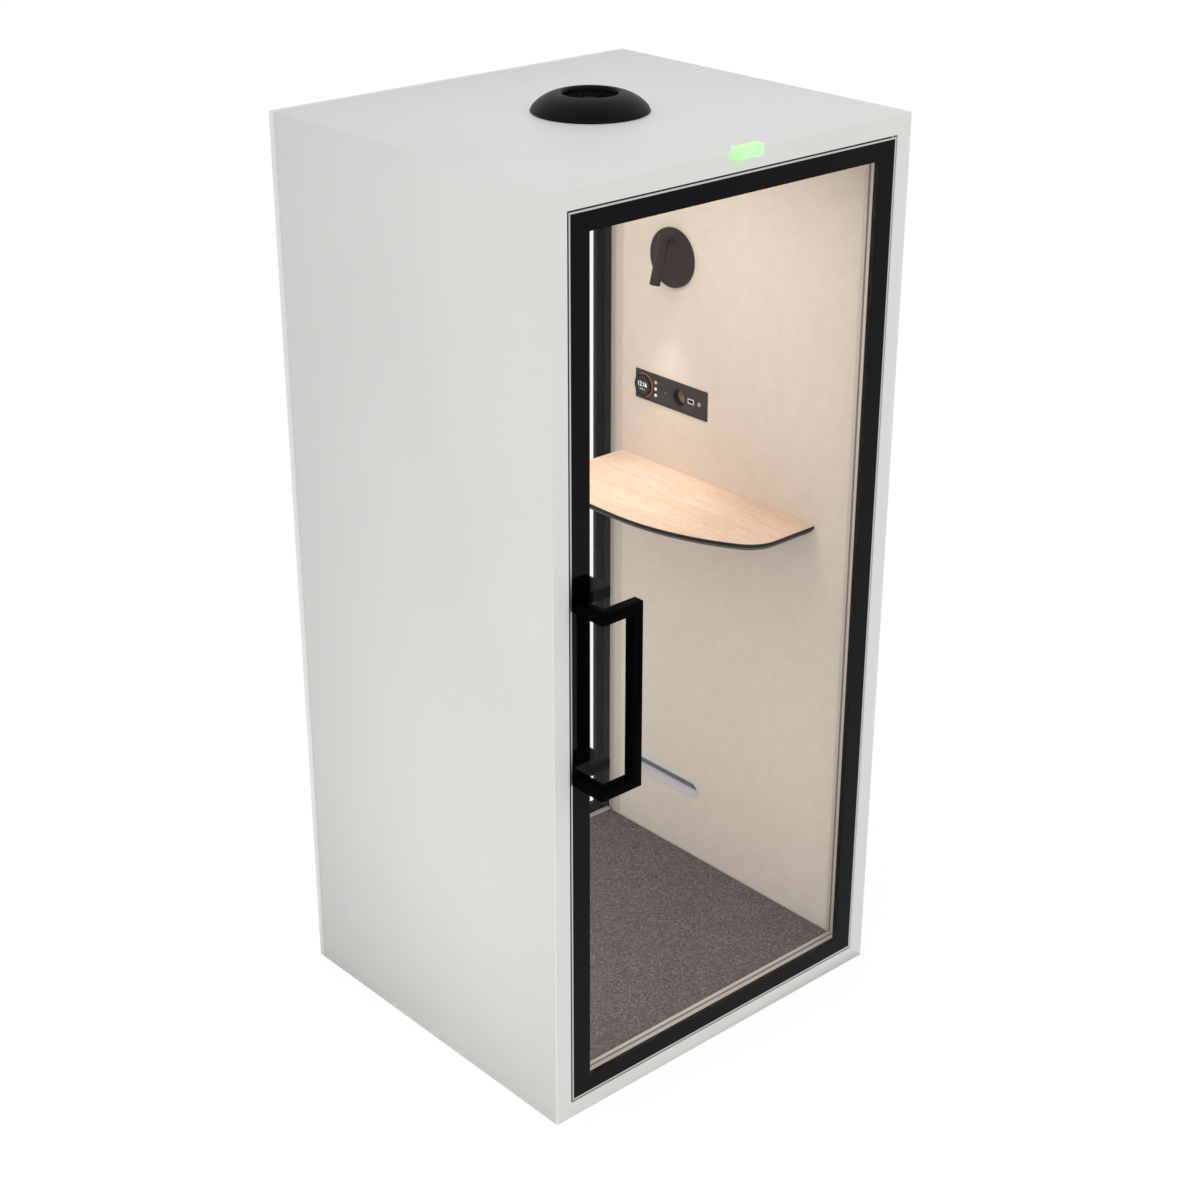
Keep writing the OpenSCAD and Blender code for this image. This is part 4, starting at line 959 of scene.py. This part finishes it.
spots = put(bladed, "GeometryNodeMeshLine", {
    "Count": size_in["Count"], "Offset": (0, 0, 0)}).outputs[0]
order = put(bladed, "GeometryNodeInputIndex").outputs[0]
turn_by = reckon(bladed, ("DIVIDE", ("MULTIPLY", order, 2 * math.pi), size_in["Count"]))
around = put(bladed, "GeometryNodeInstanceOnPoints", {
    "Points": spots, "Instance": plate,
    "Rotation": put(bladed, "ShaderNodeCombineXYZ", {2: turn_by}).outputs[0]}).outputs[0]
harvest(bladed, around, size_in["Finish"])
print("blade tree", len(bladed.nodes), "nodes")

# %% [markdown]
# The mouth holds a ring and a small cap with upright vanes between them. The fan under it has
# a hub with a rounded top and seven pitched, slightly hollow blades. Ring, cap and hub come
# off the lathe.
# %% Vanes and fan
h = (grille_high.z - grille_low.z) / MM
foot_at = (0, mid, grille_low.z)
ring_in, edge = mouth_r - 2.9, 1
ring = turned([(ring_in, 0), (mouth_r, 0), (mouth_r, h - edge)]
              + corner(mouth_r - edge, h - edge, edge, 0)
              + corner(ring_in + edge, h - edge, edge, 90) + [(ring_in, h - edge)],
              foot_at, inner_paint)
cap = turned([(0.01, 0), (15, 0)] + corner(13, h - 2, 2, 0) + [(0.01, h)], foot_at, inner_paint, 48)
vane_sizes = {"Count": 18, "Inner": 14.5 * MM, "Outer": (mouth_r - 2.5) * MM, "Chord": 13 * MM,
              "Thickness": 1.4 * MM, "Pitch": math.radians(78), "Sweep": 0.0}
vanes = moved(grow(bladed, vane_sizes, inner_paint), (0, mid, (grille_low.z + grille_high.z) / 2))
stand("outlet_vanes", together(ring, cap, vanes), "pod", [inner_paint],
      ["outlet_grille"])

rotor_low, rotor_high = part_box("fan_rotor")
top, plinth = (rotor_high.z - rotor_low.z) / MM, 4.3
hub = turned([(0.01, 0), (3, 0), (3, plinth), (20, plinth)] + corner(16, top - 4, 4, 0)
             + [(0.01, top)], (0, mid, rotor_low.z), inner_paint, 48)
blade_sizes = {"Count": 7, "Inner": 19 * MM, "Outer": 54.5 * MM, "Chord": 29 * MM,
               "Thickness": 1.8 * MM, "Pitch": math.radians(32), "Sweep": 3 * MM}
blades = moved(grow(bladed, blade_sizes, inner_paint),
               (0, mid, (rotor_low.z + plinth * MM + rotor_high.z) / 2 - 1 * MM))
stand("fan_blades", together(hub, blades), "rotor", [inner_paint], ["fan_rotor"])
coat(inner_paint, "fan_frame")

# %% [markdown]
# ## Low inlet
# A moulded scoop with a floor that rises to a strip of punched sheet. The strip is a flat
# outline filled around rows of small circles, every second row shifted by half a pitch, and
# then given the sheet's thickness, which is how a punching tool makes it.
# %% Punched sheet
punched, size_in = plant(
    "punched sheet", ["Pitch", "Hole", "Sheet", "Straight", "Round", "Floor", "Edge"],
    ["Columns", "Rows"])
row_gap = reckon(punched, ("MULTIPLY", size_in["Pitch"], math.sqrt(3) / 2))
wide = reckon(punched, ("MULTIPLY", ("SUBTRACT", size_in["Columns"], 1.0), size_in["Pitch"]))
tall = reckon(punched, ("MULTIPLY", ("SUBTRACT", size_in["Rows"], 1.0), row_gap))
spots = put(punched, "GeometryNodeMeshGrid", {
    "Size X": wide, "Size Y": tall, "Vertices X": size_in["Columns"],
    "Vertices Y": size_in["Rows"]}).outputs[0]
order = put(punched, "GeometryNodeInputIndex").outputs[0]
odd = ("MODULO", ("MODULO", order, size_in["Rows"]), 2.0)
border = reckon(punched, ("ADD", size_in["Edge"], ("MULTIPLY", size_in["Hole"], 0.5)))
lift = reckon(punched, ("ADD", ("ADD", size_in["Floor"], border), ("MULTIPLY", tall, 0.5)))
aside = reckon(punched, ("MULTIPLY", ("SUBTRACT", odd, 0.5), ("MULTIPLY", size_in["Pitch"], 0.5)))
spots = put(punched, "GeometryNodeSetPosition", {
    "Geometry": spots,
    "Offset": put(punched, "ShaderNodeCombineXYZ", {0: aside, 1: lift}).outputs[0]}).outputs[0]
spot = put(punched, "GeometryNodeInputPosition").outputs[0]
spot = put(punched, "ShaderNodeSeparateXYZ", {0: spot}).outputs
past = reckon(punched, ("MAXIMUM", ("SUBTRACT", ("ABSOLUTE", spot[0]), size_in["Straight"]), 0.0))
away = ("SQRT", ("ADD", ("POWER", past, 2.0), ("POWER", spot[1], 2.0)))
outside = reckon(punched, ("GREATER_THAN", away, ("SUBTRACT", size_in["Round"], border)))
spots = put(punched, "GeometryNodeDeleteGeometry", {
    "Geometry": spots, "Selection": outside}).outputs[0]
hole = put(punched, "GeometryNodeCurvePrimitiveCircle", {
    "Resolution": 12, "Radius": reckon(punched, ("MULTIPLY", size_in["Hole"], 0.5))}).outputs[0]
holes = put(punched, "GeometryNodeInstanceOnPoints", {"Points": spots, "Instance": hole}).outputs[0]
holes = put(punched, "GeometryNodeRealizeInstances", {"Geometry": holes}).outputs[0]
rim = put(punched, "GeometryNodeMeshToCurve", {"Mesh": size_in["Geometry"]}).outputs[0]
both = put(punched, "GeometryNodeJoinGeometry", {0: rim})
face = put(punched, "GeometryNodeFillCurve", {
    "Curve": feed(punched, both, {0: holes}).outputs[0]}).outputs[0]
walls = put(punched, "GeometryNodeExtrudeMesh", {
    "Mesh": face, "Offset": put(punched, "ShaderNodeCombineXYZ", {2: size_in["Sheet"]}).outputs[0],
    "Offset Scale": 1.0, "Individual": False}).outputs[0]
under = put(punched, "GeometryNodeFlipFaces", {"Mesh": face}).outputs[0]
both = put(punched, "GeometryNodeJoinGeometry", {0: walls})
harvest(punched, feed(punched, both, {0: under}).outputs[0], size_in["Finish"])
print("punched sheet tree", len(punched.nodes), "nodes")

# %% [markdown]
# The strip's outline is the scoop's inner round, cut straight along the foot.
# %% Low inlet
scoop_low, scoop_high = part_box("vent_scoop")
strip_low, strip_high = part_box("vent_grille")
line_y = (scoop_low.y + scoop_high.y) / 2
level = (scoop_low.z + scoop_high.z) / 2
bend_r = (strip_high.z - level) / MM
straight = (strip_high.y - strip_low.y) / 2 / MM - bend_r
foot = (strip_low.z - level) / MM
tip = math.degrees(math.asin(foot / bend_r))
edge_points = (corner(straight, 0, bend_r, tip, 16, 90 - tip)
               + corner(-straight, 0, bend_r, 90, 16, 90 - tip))
strip_sizes = {"Pitch": 5 * MM, "Hole": 3.8 * MM, "Sheet": 1.4 * MM, "Columns": 50, "Rows": 6,
               "Straight": straight * MM, "Round": bend_r * MM, "Floor": foot * MM,
               "Edge": 0.8 * MM}
strip = grow(punched, strip_sizes, punch_paint,
             line_mesh([(x * MM, y * MM, 0) for x, y in edge_points]))
moved(strip, (strip_high.x, line_y, level), ON_WALL)
stand("inlet_sheet", strip, "pod", [punch_paint], ["vent_grille"])
rounded("vent_scoop", 0.6, vent_paint, 3)
print("strip", round(2 * (straight + bend_r), 1), "mm long")

# %% [markdown]
# ## Status light
# A milky block on the door rim, over green diodes. Its glow tints the paint round it a little.
# %% Status light
rounded("status_light", 1.6, status_look, 3)
